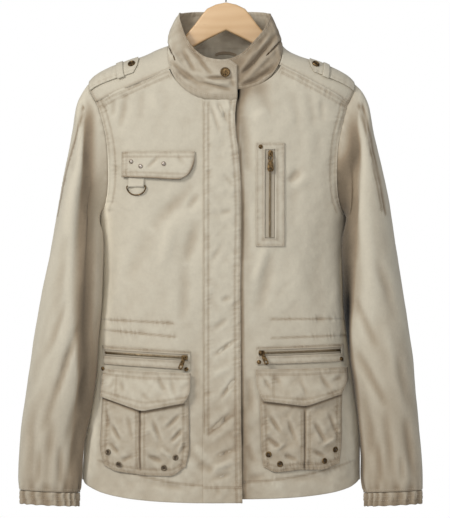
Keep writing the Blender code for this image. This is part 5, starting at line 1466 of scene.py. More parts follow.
def flap_rows(hand):
    """A flap's rows of stitches, and a short one across it near its inner or outer end."""
    outline = POCKET_FLAP[hand]
    rows = [edge_run(outline, side, inset, low=0.02, high=0.98)
            for side, insets in (("top", (2, 8)), ("left", (2,)), ("right", (2,)), ("bottom", (2.2, 8.5)))
            for inset in insets]
    x = -166 if hand < 0 else 72
    return rows + [[(x, 641), (x, 672)]]


def under_flap(hand, x, drop):
    """The shade on a pocket right under its flap's loose edge."""
    distance = along_line(x, drop, edge_run(POCKET_FLAP[hand], "bottom", -1.6))[0]
    return 2.6 * bell(distance, 2.2)


def pocket_surface(hand, x, drop):
    """A pocket's lift and tone."""
    u, v = pocket_uv(hand, x, drop)
    seams = [Seam(row, 0.5, 8, 0.3) for row in pocket_rows(hand)]
    height, pale = own_relief(x, drop, seams, POCKET_FOLDS[hand], 1.5, 60.0 + hand)
    inside = ease(u, 0, 0.05) * ease(1 - u, 0, 0.05) * ease(1 - v, 0, 0.06)
    met = bell(x - PLEAT_X[hand], PLEAT_SLIT) * ease(drop, *PLEAT_SHOWS) * (1 - ease(v, 0.93, 0.98))
    # Painted shade in the pleat's slit and under the flap's edge, and more on the pocket away from the key
    # lamp; the whole pocket is also a little darker.
    pale = pale - 3.2 * met - 0.45 - 0.3 * (hand > 0) - under_flap(hand, x, drop)
    return pocket_lift(hand, x, drop) + height * (0.25 + 0.75 * inside) + 0.3, pale


def flap_surface(hand, x, drop):
    """A flap's lift, which clears the pocket under it, and its tone."""
    over = np.max([pocket_lift(hand, x + dx, drop) for dx in (-9, -4, 0, 4, 9)], axis=0)
    base = np.maximum(over, 2 * (LAID_ON + TRIM) - TRIM) + LAID_ON + TRIM + 0.9
    pocket_height = pocket_surface(hand, x, drop)[0] - pocket_lift(hand, x, drop)
    seams = [Seam(row, 0.4, 8, 0.3) for row in flap_rows(hand)]
    height, pale = own_relief(x, drop, seams, FLAP_FOLDS[hand], 0.9, 70.0 + hand)
    lower = ease(drop, 640, 685)
    # Painted shade on the flap away from the key lamp.
    return base + 0.6 * pocket_height + height + 2.6 * lower, pale - 0.45 * (hand > 0)

# %% [markdown]
# Both sides are made by the same steps, from their own outlines.

# %% Pockets and flaps in cloth
for hand in HANDS:
    u, v = unit_grid(*POCKET_GRID)
    x, drop = outline_place(POCKET[hand], u, v)
    patch(f"pocket_{TAG[hand]}", x, drop, *pocket_surface(hand, x, drop),
          rests_on=(f"front_{TAG[hand]}_cloth",))
    u, v = unit_grid(*FLAP_GRID)
    x, drop = outline_place(POCKET_FLAP[hand], u, v)
    patch(f"flap_{TAG[hand]}", x, drop, *flap_surface(hand, x, drop), rests_on=(f"pocket_{TAG[hand]}_cloth",))

# %% [markdown]
# The right chest has a flap with a slanting corner. It stands off further the lower it gets.

# %% The chest flap
def chest_flap_rows():
    """The chest flap's rows of stitches."""
    return [edge_run(CHEST_FLAP, side, inset, low=0.02, high=0.98)
            for side, insets in (("top", (1.8, 8)), ("left", (2, 8)), ("right", (2,)), ("bottom", (2, 7.5)))
            for inset in insets]


CHEST_FLAP_GRID = (64, 32)
CHEST_FLAP_FOLDS = fold_table(
    (-104, 305, -120, 322, 1.4, 3.5), (-76, 304, -62, 318, 0.8, 5), (-150, 300, -144, 320, 0.7, 4))


def chest_flap_surface(x, drop):
    """The chest flap's lift and tone."""
    v = np.clip((drop - 296.3) / 41, 0, 1)
    seams = [Seam(row, 0.35, 7.5, 0.3) for row in chest_flap_rows()]
    height, pale = own_relief(x, drop, seams, CHEST_FLAP_FOLDS, 0.35, 80.0)
    return LAID_ON + TRIM + 0.4 + 3.5 * np.sqrt(v) + height * 0.8, pale


def edge_shade(u, v):
    """The turned edges at a flap's foot and right side lie in shade."""
    return 3.4 * np.maximum(ease(v, 0.945, 1), ease(u, 0.97, 1) * ease(v, 0.1, 0.6))


u, v = unit_grid(*CHEST_FLAP_GRID)
x, drop = outline_place(CHEST_FLAP, u, v)
lift, pale = chest_flap_surface(x, drop)
patch("chest_flap", x, drop, lift, pale - edge_shade(u, v))

# %% [markdown]
# The tab is a piece of the same cloth, folded round the ring's straight bar. It keeps its solid's path.

# %% The ring's tab and the loop in the neck
D_RING_X, D_RING_DROP, D_RING_WIRE = -137, 348.6, 1.3
D_TAB_LEFT, D_TAB_RIGHT, D_TAB_TOP = -149.2, -124.8, 326
TAPE_WALL = 1.0
HANGER_LOOP = ((-17, 141.5), (-11, 139), (-3, 138), (6, 138.5), (14, 141), (20, 144))      # x, drop


def tab_path():
    """The tab's path as (drop, lift): down its face, round the ring's bar and up behind."""
    reach = D_RING_WIRE + 0.35 + TAPE_WALL
    centre = LAID_ON + reach
    turns = np.radians(np.linspace(-25, 180, 22))
    path = [(D_TAB_TOP, LAID_ON + 2 * TAPE_WALL + 0.5), (335, 3.2), (342, 4.4)]
    path += [(D_RING_DROP + reach * math.sin(a), centre + reach * math.cos(a)) for a in turns]
    return path + [(342, LAID_ON), (D_TAB_TOP, LAID_ON)]


out = outward(angle_of(D_RING_X, 340.0), 340.0)
tab = np.array([[on_body(x, drop, 0, rough=False) + out * lift
                 for x in np.linspace(D_TAB_LEFT, D_TAB_RIGHT, 14)]
                for drop, lift in tab_path()])
core = (tab[16][0] + tab[6][-1]) / 2
cloth("d_tab_cloth", tab, tuple(core), 0.0, wall=TAPE_WALL, node="d_tab")

xs = np.linspace(HANGER_LOOP[0][0], HANGER_LOOP[-1][0], 30)
fall = np.interp(xs, *zip(*HANGER_LOOP))
y = on_body(xs, 141.0, 0, False, rough=False)[:, 1] - 1.4 - 1.4 - 1.5 * np.cos(xs / 12)
loop = np.stack([np.stack((xs, y, -fall - drop), -1) for drop in (0, 1.2, 2.5, 3.8, 5)])
cloth("hanger_loop_cloth", loop, (0, 200, -140), -2.5, wall=1.0, node="hanger_loop")

# %% [markdown]
# A zip is set into a slit, with a patch of cloth sewn round it. The patch is a ring of four sides: it is
# made as a strip that runs from its outer edge to its window, all the way round.

# %% Welts round the zips
def frame_walk(across, down):
    """Places all round a frame: along the top, down the right, back along the foot and up the left."""
    u = np.r_[np.linspace(0, 1, across, endpoint=False), np.ones(down),
              np.linspace(1, 0, across, endpoint=False), np.zeros(down)]
    v = np.r_[np.zeros(across), np.linspace(0, 1, down, endpoint=False), np.ones(across),
              np.linspace(1, 0, down, endpoint=False)]
    return u, v


def welt(name, outer, window, steps, rows_of, rests_on):
    """A patch round a window, from its outer edge inwards."""
    u, v = frame_walk(*steps)
    depth = np.linspace(0, 1, 9)[:, None]
    outer_x, outer_drop = between(outer, u, v)
    inner_x, inner_drop = between(window, u, v)
    x, drop = outer_x + (inner_x - outer_x) * depth, outer_drop + (inner_drop - outer_drop) * depth
    seams = [Seam(row, 0.35, 7.5, 0.3) for row in rows_of]
    height, pale = own_relief(x, drop, seams, (), 0.3, 90.0)
    lift = LAID_ON + TRIM + height * np.sin(np.pi * np.clip(depth + 0.15, 0, 1)) + 0.5 * ease(depth, 0.75, 1)
    patch(name, x, drop, lift, pale, closed=True, rests_on=rests_on)


def box_rows(corners, inset):
    """The four sides of a patch, moved in by an inset."""
    (ax, ad), (bx, bd), (cx, cd), (dx, dd) = corners
    a, b, c, d = ((ax + inset, ad + inset), (bx - inset, bd + inset), (cx - inset, cd - inset),
                  (dx + inset, dd - inset))
    return [[a, b], [b, c], [c, d], [d, a]]


CHEST_WELT_ROWS = box_rows(CHEST_WELT, 2) + box_rows(CHEST_WELT, 11)
POCKET_WELT_ROWS = {hand: box_rows(POCKET_WELT[hand], 1.5)[::2] + box_rows(POCKET_WINDOW[hand], -2)[::2]
                    for hand in HANDS}
welt("chest_welt", CHEST_WELT, CHEST_WINDOW, (22, 70), CHEST_WELT_ROWS, ("front_l_cloth",))
for hand in HANDS:
    welt(f"welt_{TAG[hand]}", POCKET_WELT[hand], POCKET_WINDOW[hand], (66, 14), POCKET_WELT_ROWS[hand],
         (f"front_{TAG[hand]}_cloth",))

# %% [markdown]
# Inside each window lies the zip's tape, woven tighter and darker than the jacket. It is a little raised
# along its middle, where the teeth are.

# %% Zip tapes
def zip_place(window, upright, along, across):
    """Places inside a zip's window, along the zip and across it."""
    (ax, ad), (bx, bd), (cx, cd), (dx, dd) = window
    gap = 0.5
    inner = ((ax + gap, ad + gap), (bx - gap, bd + gap), (cx - gap, cd - gap), (dx + gap, dd - gap))
    return between(inner, across, along) if upright else between(inner, along, across)


def zip_tape(name, window, upright):
    """A zip's tape, raised along its middle."""
    along, across = np.broadcast_arrays(np.linspace(0, 1, 60)[:, None], np.linspace(0, 1, 13)[None, :])
    x, drop = zip_place(window, upright, along, across)
    lift = LAID_ON + 0.7 + 0.5 * bell(across - 0.5, 0.16)
    points = on_body(x, drop, lift)
    inside = (0, 200, float(points[..., 2].mean()))
    cloth(f"{name}_tape", points, inside, 0.0, wall=0.7, node=name, material=TAPE)


ZIPS = {"chest_zip": (CHEST_WINDOW, True), "zip_r": (POCKET_WINDOW[-1], False),
        "zip_l": (POCKET_WINDOW[1], False)}
for name, (window, upright) in ZIPS.items():
    zip_tape(name, window, upright)

# %% [markdown]
# ## Epaulettes
# Each strap is sewn into the armhole, runs up the shoulder to a point, and passes under a tape loop.

# %% Shoulder straps and their loops
EPAULETTE = {"inner": 0.36, "point": 0.07, "front": 0.66, "back": -0.42}
EPAULETTE_LIFT, LOOP_AT, LOOP_WIDTH = 2.4, 0.60, 0.085
STRAP_ROW_AT = 0.82        # how far out from a strap's middle its rows of stitches run
STRAP_GRID, LOOP_GRID = (56, 34), (8, 30)
STRAP_MIDDLE = (EPAULETTE["front"] + EPAULETTE["back"]) / 2
STRAP_HALF = (EPAULETTE["front"] - EPAULETTE["back"]) / 2


def strap_grid(rows, columns):
    """Two grids: 0 to 1 along a strap, and -1 to 1 across it."""
    return np.broadcast_arrays(np.linspace(0, 1, rows)[:, None], np.linspace(-1, 1, columns)[None, :])


def strap_point(hand, s, w, lift=0.0):
    """Points of a strap: s from its tip to the armhole, w across from its back edge to its front edge."""
    s, w = np.broadcast_arrays(np.asarray(s, float), np.asarray(w, float))
    narrow = np.interp(s, (0, 0.1, 1), (0.55, 1, 1))
    t = STRAP_MIDDLE + STRAP_HALF * w * narrow
    inner, tip = EPAULETTE["inner"], EPAULETTE["point"]
    where = inner + (0.985 - inner) * s + tip * 0.35 * np.abs(w) * (1 - s)
    return on_yoke(hand, where, t, EPAULETTE_LIFT + lift)


for hand in HANDS:
    s, w = strap_grid(*STRAP_GRID)
    rows = -0.3 * bell(np.abs(w) - STRAP_ROW_AT, 0.05)
    bumps = 0.35 * crumple(s * 90, w * 20, 9, 95.0 + hand) + 0.3 * np.sin(s * 52 + w) * np.abs(w) ** 3
    roll = 0.5 * ease(np.abs(w), 0.8, 1)
    heart = on_yoke(hand, 0.7, 0.0)
    name = f"epaulette_{TAG[hand]}"
    points = strap_point(hand, s, w, rows + bumps * 0.8 + roll * 0.3 + 0.3)
    below = (heart[0], 0, heart[2] - 40)
    # The strap's tone is painted shade in its rows of stitches, and painted light and shade on its bumps.
    cloth(f"{name}_cloth", points, below, rows + bumps, wall=TRIM_WALL, node=name)
    s, w = strap_grid(*LOOP_GRID)
    place = LOOP_AT + LOOP_WIDTH * (s - 0.5)
    lift = EPAULETTE_LIFT + 2.1 + 0.25 * np.sin(np.pi * s)
    name = f"epaulette_loop_{TAG[hand]}"
    points = on_yoke(hand, place, STRAP_MIDDLE + (STRAP_HALF + 0.05) * w, lift)
    cloth(f"{name}_cloth", points, below, 0.0, wall=TRIM_WALL, node=name)

# %% [markdown]
# ## Metal and wood finishes
# Snaps, rivets, sliders, teeth and the ring are brass with a dark antique finish: nearly black-brown in
# the hollows, and rubbed bright where hands and cloth touch. Three rivets on the chest flap are plain
# nickel. The hanger is pale lacquered wood whose grain runs along the board.


# %% Patina and grain
def patina_group():
    """Worn metal's colour, roughness and height."""
    tree, start, end = new_group(
        "Rubbed patina",
        [("Dark", "NodeSocketColor", (0.03, 0.02, 0.012, 1)),
         ("Bright", "NodeSocketColor", (0.35, 0.22, 0.1, 1)),
         ("Spot size", "NodeSocketFloat", 3.0), ("Rubbed", "NodeSocketFloat", 0.5)],
        [("Colour", "NodeSocketColor"), ("Roughness", "NodeSocketFloat"), ("Height", "NodeSocketFloat")])
    place = add_node(tree, "ShaderNodeTexCoord")
    scale = maths(tree, "DIVIDE", 1000.0, start.outputs["Spot size"])
    spots = noise_at(tree, place.outputs["Object"], scale, detail=4.0)
    fine = noise_at(tree, place.outputs["Object"], maths(tree, "MULTIPLY", scale, 7.0), detail=2.0)
    shift = maths(tree, "SUBTRACT", start.outputs["Rubbed"], 0.5)
    mixed = maths(tree, "ADD", maths(tree, "MULTIPLY_ADD", fine, 0.35, maths(tree, "MULTIPLY", spots, 0.65)),
                  shift)
    mask = maths(tree, "SMOOTH_MIN", maths(tree, "MULTIPLY_ADD", mixed, 3.2, -1.1), 1.0, 0.2)
    mask = maths(tree, "MAXIMUM", mask, 0.0)
    colour = blend_colours(tree, mask, start.outputs["Dark"], start.outputs["Bright"])
    tree.links.new(colour, end.inputs["Colour"])
    tree.links.new(maths(tree, "MULTIPLY_ADD", mask, -0.22, 0.55), end.inputs["Roughness"])
    tree.links.new(fine, end.inputs["Height"])
    return tree


PATINA = patina_group()


def metal(name, dark, bright, rubbed_and_lit, spot=3.0, roughness=None):
    """A metal finish: dark in its hollows and bright where hands and cloth wear it."""
    material, tree, shader = new_material(name, {"Metallic": 0.92})
    values = {"Dark": (*dark, 1), "Bright": (*bright, 1), "Rubbed": rubbed_and_lit, "Spot size": spot}
    group = add_node(tree, "ShaderNodeGroup", values, node_tree=PATINA)
    tree.links.new(group.outputs["Colour"], shader.inputs["Base Color"])
    if roughness is None:
        tree.links.new(group.outputs["Roughness"], shader.inputs["Roughness"])
    else:
        shader.inputs["Roughness"].default_value = roughness
    add_bump(tree, shader, group.outputs["Height"], 0.2, 0.00005)
    material.diffuse_color = (*bright, 1)
    return material


def wood_finish():
    """Lacquered wood: long soft bands, and a few dark pores drawn out along the board."""
    material, tree, shader = new_material("lacquered wood", {"Coat Weight": 0.25, "Coat Roughness": 0.25})
    place = add_node(tree, "ShaderNodeTexCoord")
    stretch = add_node(tree, "ShaderNodeMapping", {"Scale": (4.0, 40.0, 26.0), "Rotation": (0, 0.12, 0)})
    tree.links.new(place.outputs["Object"], stretch.inputs["Vector"])
    broad = noise_at(tree, stretch.outputs[0], 1.6, detail=3.0)
    rings = add_node(tree, "ShaderNodeTexWave",
                     {"Scale": 0.9, "Distortion": 5.0, "Detail": 3.0, "Detail Scale": 1.4},
                     wave_type="BANDS", bands_direction="Z")
    tree.links.new(stretch.outputs[0], rings.inputs["Vector"])
    pores = noise_at(tree, stretch.outputs[0], 14.0, detail=2.0)
    mask = maths(tree, "MULTIPLY_ADD", rings.outputs["Fac"], 0.55, maths(tree, "MULTIPLY", broad, 0.5))
    colour = blend_colours(tree, mask, (0.73, 0.49, 0.262, 1), (0.66, 0.415, 0.205, 1))
    dark = maths(tree, "MULTIPLY", maths(tree, "GREATER_THAN", pores, 0.72), 0.12)
    colour = blend_colours(tree, dark, colour, (0.40, 0.22, 0.10, 1))
    tree.links.new(colour, shader.inputs["Base Color"])
    tree.links.new(maths(tree, "MULTIPLY_ADD", pores, 0.2, 0.3), shader.inputs["Roughness"])
    add_bump(tree, shader, pores, 0.15, 0.0002)
    material.diffuse_color = (0.72, 0.5, 0.29, 1)
    return material


BRASS = metal("antique brass", (0.045, 0.028, 0.014), (0.42, 0.27, 0.12), 0.42)
EYELET = metal("worn eyelet brass", (0.05, 0.035, 0.02), (0.34, 0.27, 0.19), 0.5, spot=2.0)
TEETH = metal("zip brass", (0.08, 0.055, 0.03), (0.33, 0.25, 0.145), 0.5, spot=2.0)
NICKEL = metal("nickel", (0.20, 0.155, 0.125), (0.74, 0.66, 0.58), 0.5, roughness=0.30)
STEEL = metal("plated steel", (0.42, 0.42, 0.42), (0.72, 0.72, 0.72), 0.6, roughness=0.24)
WOOD = wood_finish()

# %% [markdown]
# ## Metal on the cloth
# A snap cap, a rivet and an eyelet are all turned: each is a profile spun round its axis. Each sits where its
# solid is, on the nearest cloth under it, and faces the way that cloth faces. The eyelets are open rings,
# with a dark disc of painted shadow inside them.

# %% Finding the cloth under a small part
TREES = {}


def tree_of(piece):
    """A search tree over a made piece's outer face."""
    if piece not in TREES:
        mesh = MADE[piece].data
        TREES[piece] = BVHTree.FromPolygons([v.co for v in mesh.vertices],
                                            [p.vertices for p in mesh.polygons])
    return TREES[piece]


def seat(point, pieces):
    """The spot nearest to a point on any of some pieces, and the way out there."""
    found = [tree_of(piece).find_nearest(point) for piece in pieces]
    spot, way, _, _ = min(found, key=lambda f: f[3])
    return spot, way


def spun(name, profile, spot, way, material, node, steps=40, slot="antique_brass"):
    """A turned part: (radius, height) in mm from the top of its axis to its foot."""
    turn = np.linspace(0, 2 * np.pi, steps, endpoint=False)
    verts, faces, rings = [], [], []
    frame_of = Matrix.Translation(spot) @ Vector(way).to_track_quat("Z", "Y").to_matrix().to_4x4()
    for radius, height in profile:
        around = turn if radius > 0 else turn[:1]
        rings.append(range(len(verts), len(verts) + len(around)))
        verts += [frame_of @ Vector((radius * MM * math.cos(a), radius * MM * math.sin(a), height * MM))
                  for a in around]
    for upper, lower in zip(rings, rings[1:]):
        for i in range(steps):
            j = (i + 1) % steps
            ends = [upper[i % len(upper)], lower[i % len(lower)], lower[j % len(lower)],
                    upper[j % len(upper)]]
            faces.append(list(dict.fromkeys(ends)))
    mesh = bpy.data.meshes.new(name)
    mesh.from_pydata(verts, [], faces)
    mesh.shade_smooth()
    mesh.set_sharp_from_angle(angle=math.radians(48))
    return show(name, mesh, material, replaces=(node,) if node else ())


def cap_profile(radius, height):
    """A pressed cap: flat field, raised rim, rolled edge."""
    points = [(0, 0.66), (0.55, 0.66), (0.62, 0.7), (0.68, 0.9), (0.74, 0.99), (0.80, 1.0),
              (0.87, 0.95), (0.94, 0.8), (0.985, 0.55), (1.0, 0.25), (0.97, -0.1), (0, -0.1)]
    return [(r * radius, h * height) for r, h in points]


def dome_profile(radius, height):
    """A rivet's head, a shallow dome with a collar round it."""
    points = [(0, 1.0), (0.2, 0.98), (0.4, 0.9), (0.55, 0.78), (0.64, 0.6), (0.7, 0.5),
              (0.8, 0.55), (0.9, 0.48), (0.98, 0.3), (1.0, 0.1), (0.97, -0.1), (0, -0.1)]
    return [(r * radius, h * height) for r, h in points]


def bead_profile(radius, height):
    """A bright rivet's head: a half round bead."""
    turn = np.linspace(0, np.pi / 2, 9)
    return [(radius * math.sin(a), height * math.cos(a)) for a in turn] + [(radius * 0.97, -0.2), (0, -0.2)]


def ring_profile(radius, wire_radius):
    """An eyelet: a rolled ring, closed on itself, with its hole through to the cloth."""
    turn = np.linspace(0, 2 * np.pi, 13)
    return [(radius + wire_radius * math.cos(a), 0.5 * wire_radius + 0.75 * wire_radius * math.sin(a))
            for a in turn]


def middle_of(node):
    """The middle of a solid's box."""
    low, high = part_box(node)
    return (Vector(low) + Vector(high)) / 2


def cloths(*names):
    """The names of cloth pieces, from the names of their solids."""
    return [f"{name}_cloth" for name in names]

# %% [markdown]
# The sizes are those of ordinary findings: 15 mm caps, 7 mm rivets and 9 mm eyelets. Each is found by
# its solid's name, so that it stays where the frame has it.

# %% Snaps, rivets and eyelets
SNAP_RADIUS, SNAP_HEIGHT, SHOULDER_SNAP_RADIUS = 7.6, 2.6, 6
RIVET_RADIUS, RIVET_HEIGHT = 3.4, 1.8
EYELET_RADIUS, EYELET_WIRE = 3.3, 1.3

spun("collar_snap_cap", cap_profile(SNAP_RADIUS, SNAP_HEIGHT),
     *seat(middle_of("collar_snap"), cloths("collar")), BRASS, "collar_snap")
for hand in HANDS:
    node = f"epaulette_snap_{TAG[hand]}"
    spun(f"{node}_cap", cap_profile(SHOULDER_SNAP_RADIUS, SNAP_HEIGHT),
         *seat(middle_of(node), cloths(f"epaulette_{TAG[hand]}")), BRASS, node)
for i in (1, 2, 3):
    spun(f"flap_rivet_{i}_head", bead_profile(RIVET_RADIUS * 1.06, RIVET_HEIGHT * 1.7),
         *seat(middle_of(f"flap_rivet_{i}"), cloths("chest_flap")), NICKEL, f"flap_rivet_{i}", slot="nickel")
spun("chest_rivet_head", dome_profile(RIVET_RADIUS, RIVET_HEIGHT),
     *seat(middle_of("chest_rivet"), cloths("chest_welt")), BRASS, "chest_rivet")
for hand in HANDS:
    tag = TAG[hand]
    for i in (1, 2):
        node = f"rivet_{tag}{i}"
        spun(f"{node}_head", dome_profile(RIVET_RADIUS, RIVET_HEIGHT),
             *seat(middle_of(node), cloths(f"welt_{tag}", f"pocket_{tag}", f"flap_{tag}", f"front_{tag}")),
             BRASS, node)
    for i in range(1, 5):
        node = f"eyelet_{tag}{i}"
        spot, way = seat(middle_of(node), cloths(f"pocket_{tag}"))
        finish = EYELET if hand < 0 else BRASS
        spun(f"{node}_ring", ring_profile(EYELET_RADIUS, EYELET_WIRE), spot, way, finish, node, steps=32)


def eyelet_hole(hand, i):
    """A dark disc inside an eyelet, set into the hole: painted shadow."""
    spot, way = seat(middle_of(f"eyelet_{TAG[hand]}{i}"), cloths(f"pocket_{TAG[hand]}"))
    radius = EYELET_RADIUS - EYELET_WIRE * 0.5
    disc = [(0, 0.12), (radius, 0.12), (radius, -0.4)]
    spun(f"eyelet_{TAG[hand]}{i}_hole", disc, spot, way, HOLE_SHADOW, None, 20, "cloth")


# Painted shadow for the eyelets' holes and the hood's slits.
HOLE_SHADOW = cotton("hole shadow", (0.10, 0.075, 0.055))
for hand in HANDS:
    for i in range(1, 5):
        eyelet_hole(hand, i)

# %% [markdown]
# ## Sliders, pulls, the ring, the hook and the hanger
# These keep their solids' form: a merged copy gets rounded edges, and round wire is divided further.


# %% Finer copies of solids
def finer(node, material, body="jacket", edge=0.0, divide=0):
    """A merged copy of a solid with rounded edges (edge in mm), or divided into rounder wire."""
    mesh = NODES[node].data.copy()
    mesh.name = f"{node}_fine"
    mesh.materials.clear()
    shape = bmesh.new()
    shape.from_mesh(mesh)
    bmesh.ops.remove_doubles(shape, verts=shape.verts, dist=1e-6)
    if divide:
        bmesh.ops.join_triangles(shape, faces=shape.faces, angle_face_threshold=0.9,
                                 angle_shape_threshold=1.2)
    else:
        bmesh.ops.dissolve_limit(shape, angle_limit=math.radians(1.5), verts=shape.verts, edges=shape.edges)
    shape.to_mesh(mesh)
    shape.free()
    mesh.shade_smooth()
    mesh.set_sharp_from_angle(angle=math.radians(45))
    item = show(f"{node}_fine", mesh, material, replaces=(node,), body=body)
    if divide:
        rounder = item.modifiers.new("Rounder", "SUBSURF")
        rounder.levels = rounder.render_levels = divide
    else:
        rounded = item.modifiers.new("Rounded edges", "BEVEL")
        rounded.width, rounded.segments, rounded.limit_method = edge * MM, 3, "ANGLE"
        rounded.angle_limit = math.radians(40)
    return item


for name, body in (("chest_slider", "jacket"), ("slider_r", "jacket"), ("slider_l", "jacket"),
                   ("chest_pull", "chest_pull"), ("pull_r", "pull_r"), ("pull_l", "pull_l")):
    finer(name, BRASS, body, edge=0.18)
finer("d_ring", BRASS, "d_ring", divide=2)
finer("hook", STEEL, divide=1)
finer("hanger", WOOD, edge=2.4)

# %% [markdown]
# ## Rows of stitches and zip teeth
# One node tree lays small pieces along rows: it takes lines, spaces points evenly along them, and puts a
# piece on each, turned along its row and square to the cloth. For stitches the piece is a rounded bead of
# thread, for a zip it is a tooth. The lines first snap to the cloth that they are sewn through.


# %% The row tree
def row_tree(name, rounded):
    """A node tree that lays rounded beads, or blocks, along the lines that it is given."""
    tree = bpy.data.node_groups.new(name, "GeometryNodeTree")
    face = tree.interface
    face.new_socket("Rows", in_out="INPUT", socket_type="NodeSocketGeometry")
    for label in ("Pitch", "Length", "Width", "Height"):
        face.new_socket(label, in_out="INPUT", socket_type="NodeSocketFloat")
    face.new_socket("Finish", in_out="INPUT", socket_type="NodeSocketMaterial")
    face.new_socket("Pieces", in_out="OUTPUT", socket_type="NodeSocketGeometry")
    start, end = tree.nodes.new("NodeGroupInput"), tree.nodes.new("NodeGroupOutput")
    curve = add_node(tree, "GeometryNodeMeshToCurve")
    even = add_node(tree, "GeometryNodeResampleCurve", mode="LENGTH")
    spots = add_node(tree, "GeometryNodeCurveToPoints", mode="EVALUATED")
    way = add_node(tree, "GeometryNodeInputNamedAttribute", {"Name": "out"}, data_type="FLOAT_VECTOR")
    along = add_node(tree, "FunctionNodeAlignRotationToVector", axis="X")
    square = add_node(tree, "FunctionNodeAlignRotationToVector", axis="Z", pivot_axis="X")
    size = add_node(tree, "ShaderNodeCombineXYZ")
    uneven = add_node(tree, "FunctionNodeRandomValue", {"Min": 0.85, "Max": 1.12, "Seed": 7},
                      data_type="FLOAT")
    fitted = add_node(tree, "ShaderNodeMath", operation="MULTIPLY")
    place = add_node(tree, "GeometryNodeInstanceOnPoints")
    if rounded:
        piece = add_node(tree, "GeometryNodeMeshIcoSphere", {"Radius": 0.5, "Subdivisions": 1})
    else:
        piece = add_node(tree, "GeometryNodeMeshCube", {"Size": (1, 1, 1)})
    smooth = add_node(tree, "GeometryNodeSetShadeSmooth", {"Shade Smooth": rounded})
    real = add_node(tree, "GeometryNodeRealizeInstances")
    finish = add_node(tree, "GeometryNodeSetMaterial")
    for one, given, other, taken in (
            (start, "Rows", curve, "Mesh"), (curve, "Curve", even, "Curve"),
            (start, "Pitch", even, "Length"), (even, "Curve", spots, "Curve"),
            (spots, "Points", place, "Points"), (spots, "Tangent", along, "Vector"),
            (along, "Rotation", square, "Rotation"), (way, "Attribute", square, "Vector"),
            (square, "Rotation", place, "Rotation"), (start, "Length", fitted, 0), (uneven, 1, fitted, 1),
            (fitted, 0, size, "X"), (start, "Width", size, "Y"), (start, "Height", size, "Z"),
            (size, 0, place, "Scale"), (piece, "Mesh", place, "Instance"),
            (place, "Instances", real, "Geometry"), (real, "Geometry", smooth, "Geometry"),
            (smooth, "Geometry", finish, "Geometry"), (start, "Finish", finish, "Material"),
            (finish, "Geometry", end, "Pieces"),
    ):
        tree.links.new(one.outputs[given], other.inputs[taken])
    return tree


STITCH_TREE = row_tree("Rows of stitches", True)
TOOTH_TREE = row_tree("Rows of zip teeth", False)


def lay_rows(name, rows, tree, sizes, material):
    """Small pieces along rows of (place, way out), as a plain mesh that rides on the jacket."""
    lines = bpy.data.meshes.new(f"{name} lines")
    verts = [spot for row in rows for spot, _ in row]
    starts = np.cumsum([0] + [len(row) for row in rows])
    edges = [(a + i, a + i + 1) for a, row in zip(starts, rows) for i in range(len(row) - 1)]
    lines.from_pydata(verts, [(int(a), int(b)) for a, b in edges], [])
    out = lines.attributes.new("out", "FLOAT_VECTOR", "POINT")
    out.data.foreach_set("vector", np.array([way for row in rows for _, way in row], float).ravel())
    carrier = bpy.data.objects.new(f"{name} lines", lines)
    bpy.context.scene.collection.objects.link(carrier)
    maker = carrier.modifiers.new("Rows", "NODES")
    maker.node_group = tree
    for socket in tree.interface.items_tree:
        if socket.in_out == "INPUT" and socket.name in sizes:
            maker[socket.identifier] = sizes[socket.name] * MM
        elif socket.in_out == "INPUT" and socket.name == "Finish":
            maker[socket.identifier] = material
    ready = carrier.evaluated_get(bpy.context.evaluated_depsgraph_get())
    mesh = bpy.data.meshes.new_from_object(ready)
    mesh.name = name
    bpy.data.objects.remove(carrier)
    mesh.materials.clear()
    item = show(name, mesh, material)
    print(f"{name}: {len(rows)} rows, {len(mesh.polygons)} faces")
    return item

# %% [markdown]
# Thread is the last thing sewn and the last thing laid. The rows are those that shaped the puckers, so
# thread and puckers agree. A row is given in the plane of the picture, and then snaps to its cloth.

# %% Rows of stitches
STITCH = {"Pitch": 3.0, "Length": 2.4, "Width": 0.65, "Height": 0.35}
STITCH_STEP, FLAT_STEP = 3.0, 6      # between points that snap to the cloth, and in the picture's plane
STITCH_RISE = 0.05                   # how far the thread's middle lies above the cloth
THREAD = cotton("thread", (0.64, 0.58, 0.47), pitch=0.4, mottling=0.15)
ARMHOLE_ROW_AT = (0.972, 0.925)      # on the yoke, 1 is at the armhole
COLLAR_ROW_AT = (0.055, 0.93)        # on the collar, 0 is its foot and 1 its top edge
ROWS = {}


def evenly(points, step, least):
    """A line of points again, spaced evenly, about a step apart and at least so many."""
    points = np.asarray(points, float)
    along = np.r_[0, np.cumsum(np.linalg.norm(np.diff(points, axis=0), axis=1))]
    even = np.linspace(0, along[-1], max(least, int(along[-1] / step)))
    return np.stack([np.interp(even, along, column) for column in points.T], -1)


def sew(group, piece, points):
    """Note a row of stitches through a piece, given near it as points in mm."""
    row = []
    for point in evenly(points, STITCH_STEP, 2):
        spot, way, _, _ = tree_of(f"{piece}_cloth").find_nearest(Vector(point) * MM)
        row.append((spot + way * STITCH_RISE * MM, way))
    ROWS.setdefault(group, []).append(row)


def sew_flat(group, piece, line, lift=0.0, front=True):
    """A row given as (x, drop) over the body."""
    x, drop = evenly(line, FLAT_STEP, 3).T
    sew(group, piece, on_body(x, drop, lift, front, rough=False))


